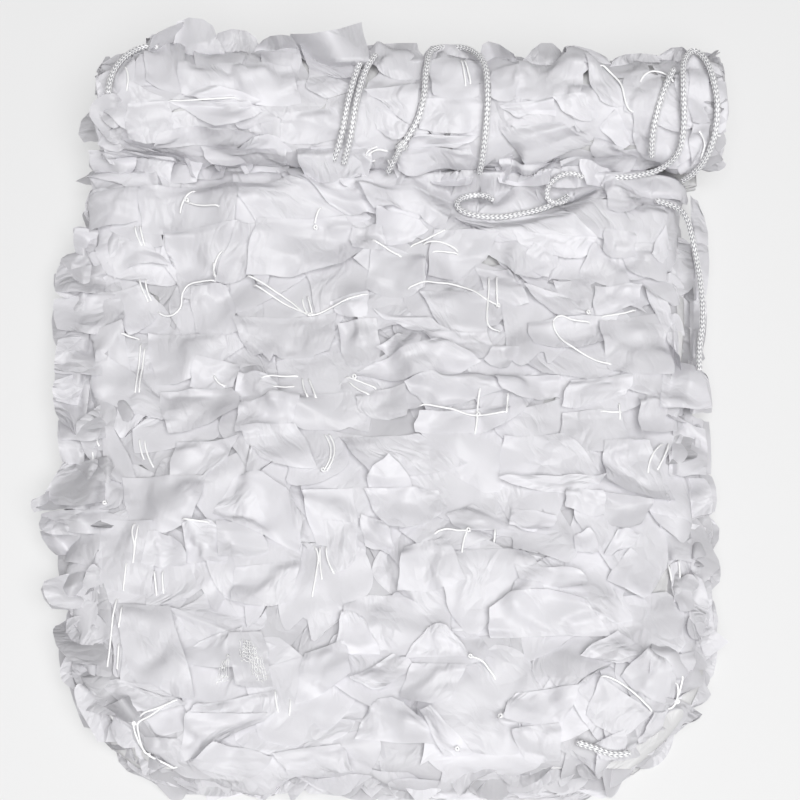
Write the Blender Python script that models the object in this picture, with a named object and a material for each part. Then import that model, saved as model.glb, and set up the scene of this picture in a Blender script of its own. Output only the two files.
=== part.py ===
"""Garnished snow camouflage net, folded lengthwise into a strip of four layers and part rolled up.

+X runs to the right along the roll, +Y from the strip's front fold back to the roll, +Z up. The origin
is at the middle of the net's footprint, on the surface that it lies on. Units are metres.
"""

import math

import bmesh
import bpy
from mathutils import Vector

# The loose end of the net: four layers, folded back and forth across the strip.
STRIP_LEFT, STRIP_RIGHT = -0.210, 0.196
STRIP_FRONT, STRIP_BACK = -0.2515, 0.1718
STRIP_HEIGHT = 0.045
LAYERS = 4
LAYER_GAP = 0.0035
TOP_COLUMNS, HIDDEN_COLUMNS = 12, 6
FOLD_STEPS = 4
CORNER_RADIUS = 0.100
SIDE_SAG = 0.0050

# The roll: a band of all the layers, wound on itself, with a flat tail that runs on into the strip.
ROLL_LEFT, ROLL_RIGHT = -0.203, 0.219
ROLL_RADIUS = 0.0475
ROLL_CENTRE_Y = 0.2080
BAND_THICKNESS = 0.0125
BAND_PITCH = 0.0140
INNER_TURNS = 1.35
ROLL_COLUMNS = 14
INNER_STEP = 24.0
SEAM_GAP = 0.0003
LEFT_SHOULDER, RIGHT_SHOULDER = 0.035, 0.025
LEFT_NARROWING, RIGHT_NARROWING = 0.10, 0.06
TAIL_LEFT_INSET, TAIL_RIGHT_INSET = 0.004, 0.012

# The leaves: flaps cut in the garnish, in rows across the strip and along the roll.
ROW_PITCH = 0.0335
ROW_COUNT = 12
FIRST_ROW = 0.030
ROOT = 0.0030
LEAF_LENGTH = 0.047
LEAF_OVERLAP = 1.80
LEAF_LIFT, LEAF_LIFT_SPREAD = 0.0080, 0.0045
LEAF_TURN = 0.12
ROLL_ROWS = 9
ROLL_ROW_START, ROLL_ROW_PITCH = 42.0, 27.0
ROLL_LEAF_OVERLAP = 1.75
ROLL_LEAF_LIFT, ROLL_LEAF_LIFT_SPREAD = 0.0062, 0.0030
CREST_ROW, CREST_SHARE, CREST_LIFT = 3, 0.55, 0.0070
RIM_LEAF_LENGTH, RIM_LEAF_SPREAD, RIM_LEAF_DROOP = 0.016, 0.010, 0.009
RIM_LEAF_SHARE = 0.75
FRONT_LEAF_LENGTH, FRONT_LEAF_SPREAD = 0.006, 0.004
END_LEAF_LENGTH, END_LEAF_SPREAD = 0.008, 0.007
ROPE_CLEARANCE = 0.0075
ROPE_NEIGHBOURHOOD = 0.07

# The braided rope along the net's border and the tie cords.
ROPE_DIAMETER = 0.0040
ROPE_LIFT = ROPE_DIAMETER / 2 + 0.0007
ROPE_STEP = 2.9 * ROPE_DIAMETER

WHITE_NET = (0.86, 0.86, 0.88)
WHITE_ROPE = (0.90, 0.90, 0.90)
NET_ROUGHNESS, ROPE_ROUGHNESS = 0.6, 0.35


def blend(value, start, end):
    """0 at start, 1 at end, smooth between."""
    share = min(max((value - start) / (end - start), 0.0), 1.0)
    return share * share * (3 - 2 * share)


def interpolate(rows, value):
    """The second column of rows at value of the first, straight between rows."""
    for (start, low), (end, high) in zip(rows, rows[1:]):
        if value <= end:
            return low + (high - low) * max(value - start, 0.0) / (end - start)
    return rows[-1][1]


def scatter(*keys):
    """An even spread of numbers from 0 to 1, the same for the same keys."""
    total = sum((i + 1) * 12.9898 * key for i, key in enumerate(keys))
    return math.sin(total + 4.137) * 43758.5453 % 1.0


# y, height of the strip as a share of STRIP_HEIGHT: low at the front fold and where it goes under the roll
HEIGHT_ALONG = (
    (STRIP_FRONT, 0.60),
    (-0.238, 0.78),
    (-0.215, 0.93),
    (-0.180, 1.00),
    (0.122, 1.00),
    (0.136, 0.93),
    (0.147, 0.82),
    (0.163, 0.54),
    (STRIP_BACK, 0.285),
)


def strip_top(x, y):
    """Height of the strip's upper side: a soft crown with shallow hollows."""
    share = interpolate(HEIGHT_ALONG, y)
    middle = blend(y, STRIP_FRONT, -0.16) * (1 - blend(y, 0.09, 0.14))
    swell = 0.0030 * math.sin(17 * x + 9 * y + 0.6) + 0.0022 * math.sin(23 * y - 11 * x + 2.1)
    sides = SIDE_SAG * blend(abs(x), 0.13, 0.21)
    return STRIP_HEIGHT * share + middle * (swell - sides)


def corner_inset(y):
    """How far the strip's sides draw in at y, at its rounded front corners."""
    rise = CORNER_RADIUS - (y - STRIP_FRONT)
    if rise <= 0:
        return 0.0
    return CORNER_RADIUS - math.sqrt(max(CORNER_RADIUS**2 - rise**2, 0.0))


def strip_side(side, level, y):
    """x of the strip's left (-1) or right (1) side at y, which wanders by a few millimetres at each level."""
    wander = 0.0035 * math.sin(21 * y + 2.4 * level + side) + 0.0020 * math.sin(47 * y + 1.3 * level)
    edge = STRIP_LEFT if side < 0 else STRIP_RIGHT
    return edge - side * corner_inset(y) + wander


def layer_columns(layer):
    """How many columns of faces a layer has across the strip."""
    return TOP_COLUMNS if layer == LAYERS - 1 else HIDDEN_COLUMNS


def folded_section(y):
    """The strip's section at y: two lists of points, down the two sides of the folded band."""
    pitch = (STRIP_HEIGHT + LAYER_GAP) / LAYERS
    half = (pitch - LAYER_GAP) / 2
    right_hand, left_hand = [], []
    for layer in range(LAYERS):
        heading = 1 if layer % 2 == 0 else -1
        start = strip_side(-heading, layer - 1, y) + heading * (pitch / 2 + half)
        end = strip_side(heading, layer, y) - heading * (pitch / 2 + half)
        level = half + layer * pitch
        columns = layer_columns(layer)
        for column in range(columns + 1):
            x = start + (end - start) * column / columns
            right_hand.append((x, level - heading * half))
            left_hand.append((x, level + heading * half))
        if layer == LAYERS - 1:
            continue
        for step in range(1, FOLD_STEPS):
            angle = math.pi * step / FOLD_STEPS - math.pi / 2
            for points, reach in ((right_hand, heading * half), (left_hand, -heading * half)):
                radius = pitch / 2 + reach
                x = end + heading * radius * math.cos(angle)
                points.append((x, level + pitch / 2 + radius * math.sin(angle)))
    return [
        [Vector((x, y, z * strip_top(x, y) / STRIP_HEIGHT)) for x, z in points]
        for points in (right_hand, left_hand)
    ]


def shoulder(x):
    """The roll's radius near its ends, as a share of its radius at the middle."""
    left = blend(x, ROLL_LEFT + LEFT_SHOULDER, ROLL_LEFT)
    right = blend(x, ROLL_RIGHT - RIGHT_SHOULDER, ROLL_RIGHT)
    return 1 - LEFT_NARROWING * left - RIGHT_NARROWING * right


def wound_inset(angle):
    """How far inside the outer wrap the band lies at angle. It dips under its own tail as its first turn ends."""
    if angle < 360:
        return BAND_PITCH * blend(angle, 225, 352)
    return BAND_PITCH * angle / 360


def roll_radius(x, angle):
    """Radius of the band's outer side, at an angle that runs from the bottom by the back, top and front."""
    free = blend(angle, 20, 70) * (1 - blend(angle, 270, 310))
    swell = 0.0015 * math.sin(19 * x + 0.03 * angle) + 0.0010 * math.sin(0.055 * angle - 14 * x)
    resting = 1 - blend(angle, 0, 60)
    size = ROLL_RADIUS * (shoulder(x) + (1 - shoulder(x)) * resting)
    return size + free * swell - wound_inset(angle) * shoulder(x)


def roll_point(x, angle, radius):
    """A point at that angle and radius around the roll's axis."""
    turn = math.radians(angle)
    return Vector((x, ROLL_CENTRE_Y + radius * math.sin(turn), ROLL_RADIUS - radius * math.cos(turn)))


def roll_side(side, angle):
    """x of the roll's left or right end, where each turn ends a little further in than the one outside it."""
    edge = ROLL_LEFT if side < 0 else ROLL_RIGHT
    ragged = 0.0040 * math.sin(math.radians(2 * angle) + side)
    return edge - side * (0.0035 * max(angle - 150, 0.0) / 90 - ragged * blend(angle, 0, 60))


def roll_angles():
    """Angles of the band's sections along its winding: a narrow step at each row of leaves, even steps inside."""
    angles = [0.0, ROLL_ROW_START / 2]
    narrow = math.degrees(ROOT / ROLL_RADIUS)
    for row in range(ROLL_ROWS):
        angles += [ROLL_ROW_START + row * ROLL_ROW_PITCH, ROLL_ROW_START + row * ROLL_ROW_PITCH + narrow]
    while angles[-1] + INNER_STEP < 360 * (1 + INNER_TURNS):
        angles.append(angles[-1] + INNER_STEP)
    return angles


def wound_section(share):
    """The roll's section at share of its length: two lists of points, along the outside and inside of the band."""
    outside, inside = [], []
    tail_left, tail_right = ROLL_LEFT + TAIL_LEFT_INSET, ROLL_RIGHT - TAIL_RIGHT_INSET
    tail_x = tail_left + share * (tail_right - tail_left)
    for y in (STRIP_BACK + SEAM_GAP, (STRIP_BACK + ROLL_CENTRE_Y) / 2):
        outside.append(Vector((tail_x, y, 0.0)))
        inside.append(Vector((tail_x, y, BAND_THICKNESS)))
    for angle in roll_angles():
        left, right = roll_side(-1, angle), roll_side(1, angle)
        x = left + share * (right - left)
        radius = roll_radius(x, angle)
        outside.append(roll_point(x, angle, radius))
        inside.append(roll_point(x, angle, radius - BAND_THICKNESS * shoulder(x)))
    return outside, inside


def add_band(bm, sections):
    """A closed band through sections that each hold two lists of points. Returns its vertices and its faces."""
    grid = [[[bm.verts.new(p) for p in points] for points in section] for section in sections]
    faces = {}
    last = len(grid[0][0]) - 1
    for k, (here, there) in enumerate(zip(grid, grid[1:])):
        for side in (0, 1):
            for i in range(last):
                near, far = here[side], there[side]
                faces[side, k, i] = bm.faces.new((near[i], near[i + 1], far[i + 1], far[i]))
        for i, name in ((0, "start"), (last, "end")):
            faces[name, k] = bm.faces.new((here[0][i], here[1][i], there[1][i], there[0][i]))
    for k, name in ((0, "first"), (len(grid) - 1, "last")):
        for i in range(last):
            near, far = grid[k]
            faces[name, i] = bm.faces.new((near[i], near[i + 1], far[i + 1], far[i]))
    return grid, faces


# Outlines of the leaves. Each row: share of the leaf's length, width to its left and to its right as shares of
# half its width, height as a share of its lift, thickness.
LEAF_OUTLINES = (
    (
        (0.14, 0.66, 0.62, 0.30, 0.0022),
        (0.50, 1.00, 0.82, 0.75, 0.0020),
        (0.78, 0.42, 0.98, 0.95, 0.0018),
        (1.00, -0.02, 0.42, 1.00, 0.0015),
    ),
    (
        (0.14, 0.60, 0.66, 0.30, 0.0022),
        (0.46, 0.80, 1.00, 0.70, 0.0020),
        (0.70, 0.86, 0.60, 0.90, 0.0018),
        (1.00, 0.30, 0.02, 1.00, 0.0015),
    ),
    (
        (0.14, 0.64, 0.64, 0.35, 0.0022),
        (0.60, 0.94, 0.96, 0.80, 0.0020),
        (0.88, 0.88, 0.34, 0.95, 0.0018),
        (1.00, 0.62, -0.34, 1.00, 0.0015),
    ),
)
RIM_OUTLINE = (
    (0.20, 0.98, 0.94, 0.0, 0.0030),
    (0.62, 0.60, 0.86, 0.5, 0.0020),
    (1.00, 0.06, 0.30, 1.0, 0.0015),
)


def grow_leaf(bm, face, corners, place, size, outline, turn=0.0):
    """A leaf in place of a face. corners are its vertices: the two under the leaf, left and right, then the two
    over it, right and left. place(across, along, height) gives a point of the leaf's own sheet. size is the
    leaf's length, width and lift."""
    bm.faces.remove(face)
    length, width, lift = size
    ring = list(corners)
    for share, left, right, rise, thickness in outline:
        along = share * length
        drift = turn * along
        left, right = drift - left * width / 2, drift + right * width / 2
        under, over = rise * lift - thickness / 2, rise * lift + thickness / 2
        spots = ((left, along, under), (right, along, under), (right, along, over), (left, along, over))
        fresh = [bm.verts.new(place(*spot)) for spot in spots]
        for i in range(4):
            j = (i + 1) % 4
            bm.faces.new((ring[i], ring[j], fresh[j], fresh[i]))
        ring = fresh
    bm.faces.new(ring)


def finish_object(bm, name, colour, roughness):
    """A mesh object of its own material from bm, with outward faces."""
    bmesh.ops.recalc_face_normals(bm, faces=bm.faces)
    bmesh.ops.triangulate(bm, faces=bm.faces)
    mesh = bpy.data.meshes.new(name)
    bm.to_mesh(mesh)
    bm.free()
    part = bpy.data.objects.new(name, mesh)
    part.data.materials.append(plain_material(name, colour, roughness))
    bpy.context.scene.collection.objects.link(part)
    return part


def plain_material(name, colour, roughness):
    """An opaque material of one colour."""
    material = bpy.data.materials.new(name)
    material.use_nodes = True
    shader = material.node_tree.nodes["Principled BSDF"]
    shader.inputs["Base Color"].default_value = (*colour, 1.0)
    shader.inputs["Roughness"].default_value = roughness
    shader.inputs["Metallic"].default_value = 0.0
    return material


# Rope runs. On the roll a row is x, angle, height over the wrap. On the strip it is x, y, height over the top.
ROLL, STRIP = "roll", "strip"
ROPE_RUNS = {
    "tie_cord": (
        (ROLL, -0.0085, 256, 0.0),
        (ROLL, -0.0008, 235, 0.0),
        (ROLL, 0.0112, 212, 0.0),
        (ROLL, 0.0158, 193, 0.0),
        (ROLL, 0.0178, 166, 0.0),
        (ROLL, 0.0215, 142, 0.0),
        (ROLL, 0.0335, 128, 0.0),
        (ROLL, 0.0470, 139, 0.0),
        (ROLL, 0.0560, 163, 0.0),
        (ROLL, 0.0582, 187, 0.0),
        (ROLL, 0.0575, 210, 0.0),
        (ROLL, 0.0555, 236, 0.0),
        (ROLL, 0.0535, 258, 0.0),
    ),
    "tie_cord_foot": (
        (STRIP, 0.0640, 0.1500, 0.0),
        (STRIP, 0.0560, 0.1560, 0.0006),
        (STRIP, 0.0450, 0.1545, 0.0),
        (STRIP, 0.0388, 0.1470, 0.0),
        (STRIP, 0.0420, 0.1390, 0.0),
        (STRIP, 0.0530, 0.1345, 0.0),
        (STRIP, 0.0680, 0.1335, 0.0),
        (STRIP, 0.0830, 0.1365, 0.0),
        (STRIP, 0.0960, 0.1410, 0.0),
        (STRIP, 0.1080, 0.1485, 0.0),
        (STRIP, 0.1150, 0.1550, 0.0010),
    ),
    "tie_strand_left": (
        (ROLL, -0.0225, 146, 0.0),
        (ROLL, -0.0290, 170, 0.0),
        (ROLL, -0.0345, 196, 0.0),
        (ROLL, -0.0385, 220, 0.0),
        (ROLL, -0.0445, 244, 0.0),
    ),
    "tie_strand_right": (
        (ROLL, -0.0160, 150, 0.0),
        (ROLL, -0.0235, 171, 0.0),
        (ROLL, -0.0290, 196, 0.0),
        (ROLL, -0.0325, 221, 0.0),
        (ROLL, -0.0380, 247, 0.0),
    ),
    "border_rope_end": (
        (ROLL, 0.1450, 272, 0.0),
        (ROLL, 0.1620, 268, 0.0),
        (ROLL, 0.1770, 256, 0.0),
        (ROLL, 0.1865, 237, 0.0),
        (ROLL, 0.1885, 213, 0.0),
        (ROLL, 0.1880, 187, 0.0),
        (ROLL, 0.1900, 163, 0.0),
        (ROLL, 0.1980, 146, 0.0),
        (ROLL, 0.2050, 158, 0.0),
        (ROLL, 0.2090, 180, 0.0),
        (ROLL, 0.2110, 204, 0.0),
        (ROLL, 0.2085, 232, 0.0),
        (ROLL, 0.2020, 257, 0.0),
        (ROLL, 0.1930, 278, 0.0008),
    ),
    "border_rope_inner": (
        (ROLL, 0.1830, 170, 0.0),
        (ROLL, 0.1735, 194, 0.0),
        (ROLL, 0.1685, 219, 0.0),
        (ROLL, 0.1690, 243, 0.0),
    ),
    "border_rope_side": (
        (STRIP, 0.1740, 0.1500, 0.0),
        (STRIP, 0.1880, 0.1420, 0.0),
        (STRIP, 0.1935, 0.1330, 0.0004),
        (STRIP, 0.1965, 0.1180, 0.0006),
        (STRIP, 0.1990, 0.1020, 0.0012),
        (STRIP, 0.2005, 0.0860, 0.0016),
        (STRIP, 0.2010, 0.0690, 0.0016),
        (STRIP, 0.2000, 0.0530, 0.0012),
        (STRIP, 0.1975, 0.0390, 0.0006),
        (STRIP, 0.1965, 0.0220, 0.0004),
    ),
    "border_rope_left": (
        (ROLL, -0.1640, 140, 0.0),
        (ROLL, -0.1740, 136, 0.0),
        (ROLL, -0.1840, 148, 0.0),
        (ROLL, -0.1915, 168, 0.0),
        (ROLL, -0.1940, 190, 0.0),
    ),
    "border_rope_front": (
        (STRIP, 0.1070, -0.2230, 0.0),
        (STRIP, 0.1180, -0.2265, 0.0),
        (STRIP, 0.1290, -0.2300, 0.0004),
        (STRIP, 0.1400, -0.2290, 0.0008),
    ),
}


def rope_point(kind, x, place, height):
    """A rope run's row as a point of the rope's centre line."""
    if kind == ROLL:
        return roll_point(x, place, roll_radius(x, place) + ROPE_LIFT + height)
    reach = ROPE_DIAMETER / 2
    slope = (strip_top(x, place + reach) - strip_top(x, place - reach)) / ROPE_DIAMETER
    return Vector((x, place, strip_top(x, place) + (ROPE_LIFT + height) * math.hypot(1, slope)))


def smooth_curve(points, step):
    """Points about step apart on a Catmull-Rom curve through points, whose ends keep their bend."""
    before, after = (3 * a - 3 * b + c for a, b, c in (points[:3], points[:-4:-1]))
    padded = [before, *points, after]
    dense = []
    for before, start, end, after in zip(padded, padded[1:], padded[2:], padded[3:]):
        for i in range(16):
            t = i / 16
            cubic = 3 * (start - end) + after - before
            square = 2 * before - 5 * start + 4 * end - after
            dense.append(start + t * (end - before) / 2 + t * t * square / 2 + t**3 * cubic / 2)
    dense.append(points[-1])
    lengths = [(b - a).length for a, b in zip(dense, dense[1:])]
    count = max(round(sum(lengths) / step), 2)
    spacing, run, picked = sum(lengths) / count, 0.0, [dense[0]]
    for point, length in zip(dense[1:], lengths):
        run += length
        if run >= spacing * len(picked) - 1e-9 and len(picked) < count:
            picked.append(point)
    return [*picked, dense[-1]]


def add_rope(name, rows):
    """A rope run as a round tube with filled ends. Returns close points of its centre line."""
    route = [rope_point(*row) for row in rows]
    points = smooth_curve(route, ROPE_STEP)
    curve = bpy.data.curves.new(name, "CURVE")
    curve.dimensions = "3D"
    curve.bevel_depth = ROPE_DIAMETER / 2
    curve.bevel_resolution = 2
    curve.use_fill_caps = True
    spline = curve.splines.new("POLY")
    spline.points.add(len(points) - 1)
    for target, point in zip(spline.points, points):
        target.co = (*point, 1.0)
    rope = bpy.data.objects.new(name, curve)
    curve.materials.append(plain_material(name, WHITE_ROPE, ROPE_ROUGHNESS))
    bpy.context.scene.collection.objects.link(rope)
    return smooth_curve(route, ROPE_DIAMETER)


def room_for_leaf(rope_points, place, size, turn=0.0):
    """size, narrowed where a rope lies on the net there, or None if the leaf would still meet the rope."""
    length, width, lift = size
    middle = place(0, length / 2, lift)
    near = [point for point in rope_points if (point - middle).length < ROPE_NEIGHBOURHOOD]
    for share in (1.0, 0.8, 0.6, 0.45):
        across = [side * share * width / 2 for side in (-1, -0.6, -0.2, 0.2, 0.6, 1)]
        spots = [
            place(x + turn * part * length, part * length, 0.6 * lift)
            for x in across
            for part in (0, 0.25, 0.5, 0.75, 1)
        ]
        if all((spot - point).length > ROPE_CLEARANCE for spot in spots for point in near):
            return length, share * width, lift
    return None


def leaf_outline(*keys):
    """One of the leaf outlines, the same for the same keys."""
    return LEAF_OUTLINES[int(scatter(*keys) * 2.999)]


def build_strip(rope_points):
    """The loose end: the folded band, rows of leaves on its top layer, and leaf tips around its rim."""
    rows = [round(STRIP_FRONT + FIRST_ROW + ROW_PITCH * row, 5) for row in range(ROW_COUNT)]
    stations = sorted({y for y, _ in HEIGHT_ALONG} | set(rows) | {y + ROOT for y in rows})
    bm = bmesh.new()
    grid, faces = add_band(bm, [folded_section(y) for y in stations])
    top_start = len(grid[0][0]) - TOP_COLUMNS - 1
    for row, y in enumerate(rows):
        for column in range(row % 2, TOP_COLUMNS, 2):
            add_top_leaf(bm, grid, faces, rope_points, (stations.index(y), top_start + column, row))
    per_layer = HIDDEN_COLUMNS + FOLD_STEPS
    arc = HIDDEN_COLUMNS + FOLD_STEPS // 2 - 1
    # side of the strip, side of the band, first point of the root, height over the floor that the tips keep
    rims = ((1, 0, arc, 0.006), (1, 0, arc + 2 * per_layer, 0.024), (-1, 1, arc + per_layer, 0.013))
    for rim, (side, band_side, i, floor) in enumerate(rims):
        for row in range(rim % 2, len(rows) - 1):
            if scatter(row, rim, 9) > 1 - RIM_LEAF_SHARE:
                k = stations.index(rows[row]) + 1
                k += stations[k + 1] - stations[k] < ROW_PITCH / 2
                add_rim_leaf(bm, grid, faces, rope_points, (k, i, row), (side, band_side, floor))
    for column in range(1, TOP_COLUMNS, 2):
        add_front_leaf(bm, grid, faces, top_start + column)
    finish_object(bm, "net_loose_end", WHITE_NET, NET_ROUGHNESS)


def add_top_leaf(bm, grid, faces, rope_points, spot):
    """A leaf that leans forward from its root on the top layer."""
    k, i, row = spot
    front_left, front_right = grid[k][0][i + 1], grid[k][0][i]
    back_left, back_right = grid[k + 1][0][i + 1], grid[k + 1][0][i]
    root_x, root_y = (front_left.co.x + front_right.co.x) / 2, front_left.co.y

    def place(across, along, height):
        x, y = root_x + across, root_y - along
        return Vector((x, y, strip_top(x, y) + height))

    length = LEAF_LENGTH * (0.84 + 0.26 * scatter(row, i))
    length = min(length, root_y - STRIP_FRONT + 0.008)
    width = LEAF_OVERLAP * (front_right.co.x - front_left.co.x)
    lift = LEAF_LIFT + LEAF_LIFT_SPREAD * scatter(row, i, 5)
    turn = LEAF_TURN * math.sin(1.7 * row + 0.5 * i)
    size = room_for_leaf(rope_points, place, (length, width, lift), turn)
    if size is None:
        return
    corners = (front_left, front_right, back_right, back_left)
    grow_leaf(bm, faces[0, k, i], corners, place, size, leaf_outline(row, i, 4), turn)


def add_rim_leaf(bm, grid, faces, rope_points, spot, rim):
    """A leaf tip that stands out from a fold at the strip's side and droops."""
    (k, i, row), (side, band_side, floor) = spot, rim
    near, far = grid[k][band_side], grid[k + 1][band_side]
    root = (near[i].co + far[i + 1].co) / 2
    length = RIM_LEAF_LENGTH + RIM_LEAF_SPREAD * scatter(row, side + 2, i)
    drop = min(root.z - floor, RIM_LEAF_DROOP)

    def place(across, along, height):
        return Vector((root.x + side * along, root.y + across, root.z + height - drop * (along / length) ** 2))

    turn = 0.3 * scatter(row, 2) - 0.15
    size = room_for_leaf(rope_points, place, (length, 0.98 * (far[i].co.y - near[i].co.y), 0.0), turn)
    if size is None:
        return
    corners = (near[i], far[i], far[i + 1], near[i + 1])
    grow_leaf(bm, faces[band_side, k, i], corners, place, size, RIM_OUTLINE, turn)


def add_front_leaf(bm, grid, faces, i):
    """A short leaf tip that turns down over the front fold."""
    inner_left, inner_right = grid[0][1][i + 1], grid[0][1][i]
    outer_right, outer_left = grid[0][0][i], grid[0][0][i + 1]
    root = (inner_left.co + outer_right.co) / 2
    length = FRONT_LEAF_LENGTH + FRONT_LEAF_SPREAD * scatter(i)

    def place(across, along, height):
        return Vector((root.x + across, root.y - along, root.z + height - 0.4 * along**2 / length))

    size = (length, 1.3 * (inner_right.co.x - inner_left.co.x), 0.0)
    corners = (inner_left, inner_right, outer_right, outer_left)
    grow_leaf(bm, faces["first", i], corners, place, size, RIM_OUTLINE)


def build_roll(rope_points):
    """The roll: the wound band, rows of leaves on its outer wrap, and leaf tips at its ends."""
    bm = bmesh.new()
    sections = [wound_section(column / ROLL_COLUMNS) for column in range(ROLL_COLUMNS + 1)]
    grid, faces = add_band(bm, sections)
    angles = roll_angles()
    first_angle = len(grid[0][0]) - len(angles)
    row_starts = [
        first_angle + angles.index(ROLL_ROW_START + row * ROLL_ROW_PITCH)
        for row in range(ROLL_ROWS)
    ]
    for row in range(ROLL_ROWS - 1):
        for k in range(row % 2, ROLL_COLUMNS, 2):
            add_roll_leaf(bm, grid, faces, rope_points, (k, row_starts[row], row))
    for side, name, k in ((-1, "first", 0), (1, "last", ROLL_COLUMNS)):
        for row in range(2, ROLL_ROWS - 1, 2):
            add_end_leaf(bm, grid[k], faces, rope_points, (name, row_starts[row] + 1, side))
    finish_object(bm, "net_roll", WHITE_NET, NET_ROUGHNESS)


def add_roll_leaf(bm, grid, faces, rope_points, spot):
    """A leaf that lies around the outer wrap; some of those at the back stand up over the roll."""
    k, i, row = spot
    left_start, left_end = grid[k][0][i], grid[k][0][i + 1]
    right_start, right_end = grid[k + 1][0][i], grid[k + 1][0][i + 1]
    root_x = (left_start.co.x + right_start.co.x) / 2
    root_angle = ROLL_ROW_START + row * ROLL_ROW_PITCH + math.degrees(ROOT / ROLL_RADIUS)

    def place(across, along, height):
        x, angle = root_x - across, root_angle + math.degrees(along / (ROLL_RADIUS + 0.004))
        return roll_point(x, angle, roll_radius(x, angle) + height)

    lift = ROLL_LEAF_LIFT + ROLL_LEAF_LIFT_SPREAD * scatter(k, row)
    if row == CREST_ROW and scatter(k, 11) > 1 - CREST_SHARE:
        lift += CREST_LIFT
    length = LEAF_LENGTH * (0.70 + 0.22 * scatter(row, k, 2))
    width = ROLL_LEAF_OVERLAP * (right_start.co.x - left_start.co.x)
    turn = LEAF_TURN * math.sin(1.3 * row + k)
    size = room_for_leaf(rope_points, place, (length, width, lift), turn)
    if size is None:
        return
    corners = (right_end, left_end, left_start, right_start)
    grow_leaf(bm, faces[0, k, i], corners, place, size, leaf_outline(k, row, 6), turn)


def add_end_leaf(bm, ends, faces, rope_points, spot):
    """A leaf tip that stands out of the outer wrap at an end of the roll."""
    name, i, side = spot
    outer, inner = ends
    root = (outer[i].co + inner[i + 1].co) / 2
    tangent = (outer[i + 1].co - outer[i].co).normalized()
    outward = (outer[i].co + outer[i + 1].co - inner[i].co - inner[i + 1].co).normalized()

    def place(across, along, height):
        return root + Vector((side * along, 0, 0)) + tangent * across + outward * (height + 0.1 * along)

    length = END_LEAF_LENGTH + END_LEAF_SPREAD * scatter(i, side + 2)
    size = room_for_leaf(rope_points, place, (length, 1.05 * (outer[i + 1].co - outer[i].co).length, 0.0))
    if size is not None:
        corners = (inner[i], inner[i + 1], outer[i + 1], outer[i])
        grow_leaf(bm, faces[name, i], corners, place, size, RIM_OUTLINE)


def main():
    """Clears the scene and builds the ropes, then the net around them."""
    for item in list(bpy.data.objects):
        bpy.data.objects.remove(item)
    rope_points = []
    for name, rows in ROPE_RUNS.items():
        rope_points += add_rope(name, rows)
    build_strip(rope_points)
    build_roll(rope_points)


main()
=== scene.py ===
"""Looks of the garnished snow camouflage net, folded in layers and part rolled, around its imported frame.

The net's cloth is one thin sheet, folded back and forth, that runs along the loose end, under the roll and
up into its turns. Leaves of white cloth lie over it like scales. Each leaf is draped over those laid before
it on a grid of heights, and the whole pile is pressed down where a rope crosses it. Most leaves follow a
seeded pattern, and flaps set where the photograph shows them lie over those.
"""

import math
from collections import namedtuple

import bpy
import numpy as np
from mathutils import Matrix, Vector

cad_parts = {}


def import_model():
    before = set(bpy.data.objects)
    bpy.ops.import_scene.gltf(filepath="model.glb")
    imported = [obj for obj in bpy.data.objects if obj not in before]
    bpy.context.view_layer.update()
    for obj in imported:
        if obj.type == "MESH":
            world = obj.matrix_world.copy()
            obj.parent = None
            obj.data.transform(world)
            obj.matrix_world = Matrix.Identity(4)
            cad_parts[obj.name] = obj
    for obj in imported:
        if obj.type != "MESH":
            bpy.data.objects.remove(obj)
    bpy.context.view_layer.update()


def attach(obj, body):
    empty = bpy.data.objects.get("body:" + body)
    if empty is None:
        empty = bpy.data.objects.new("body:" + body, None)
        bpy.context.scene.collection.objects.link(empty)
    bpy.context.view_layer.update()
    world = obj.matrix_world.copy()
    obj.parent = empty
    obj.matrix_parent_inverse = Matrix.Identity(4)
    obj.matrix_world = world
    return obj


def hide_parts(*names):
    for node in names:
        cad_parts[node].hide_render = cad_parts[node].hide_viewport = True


# The folded loose end and the roll, as in the solids. Metres, +Y from the loose end to the roll.
STRIP_LEFT, STRIP_RIGHT = -0.210, 0.196
STRIP_FRONT, STRIP_BACK = -0.2515, 0.1718
STRIP_HEIGHT = 0.045
CORNER_RADIUS = 0.100
LAYERS = 4
ROLL_LEFT, ROLL_RIGHT = -0.203, 0.219
ROLL_RADIUS = 0.0475
ROLL_CENTRE_Y = 0.2080
BAND_PITCH = 0.0140
ROPE_DIAMETER = 0.0040
ROPE_LIFT = ROPE_DIAMETER / 2 + 0.0007
STRING_DIAMETER = 0.0013
LOWEST_CLOTH = 0.0008

# The photograph's camera, and the size that one of its pixels covers on the net.
IMAGE_SIZE = 800
PIXEL_SIZE = 0.00065
CAMERA_ELEVATION = math.radians(68)
CAMERA_DISTANCE = 1.228
CAMERA_TARGET = Vector((0, 0, 0.045))
LENS, SENSOR = 85.0, 36.0
CLIP_NEAR, CLIP_FAR = 0.05, 20

# Linear colours.
LEAF_WHITE = (0.835, 0.828, 0.857)
# The net's white cloth is painted grey, as the shade in the gaps between leaves.
NET_SHADE_GREY = (0.655, 0.652, 0.655)
STRING_WHITE = (0.88, 0.88, 0.88, 1)
# The braid's white, and the grey painted as shade in the grooves between its stitches.
STITCH_WHITE, STITCH_SHADE_GREY = (0.95, 0.95, 0.95, 1), (0.30, 0.30, 0.32, 1)
FLOOR_GREY, SKY_WHITE = (0.30, 0.30, 0.30, 1), (0.985, 0.98, 1.0, 1)

# A grid of points with the cloth coordinates and tone of each.
Grid = namedtuple("Grid", "points uv tone")


# ---- small tools


def blend(value, start, end):
    """0 at start, 1 at end, smooth between."""
    share = np.clip((value - start) / (end - start), 0.0, 1.0)
    return share * share * (3 - 2 * share)


def eased(value, softness):
    """value where it is well over 0 and 0 where it is well under, with a smooth turn softness wide."""
    return 0.5 * (value + np.sqrt(value**2 + softness**2))


def unit(vector):
    """vector at length 1."""
    return vector / np.linalg.norm(vector)


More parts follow.
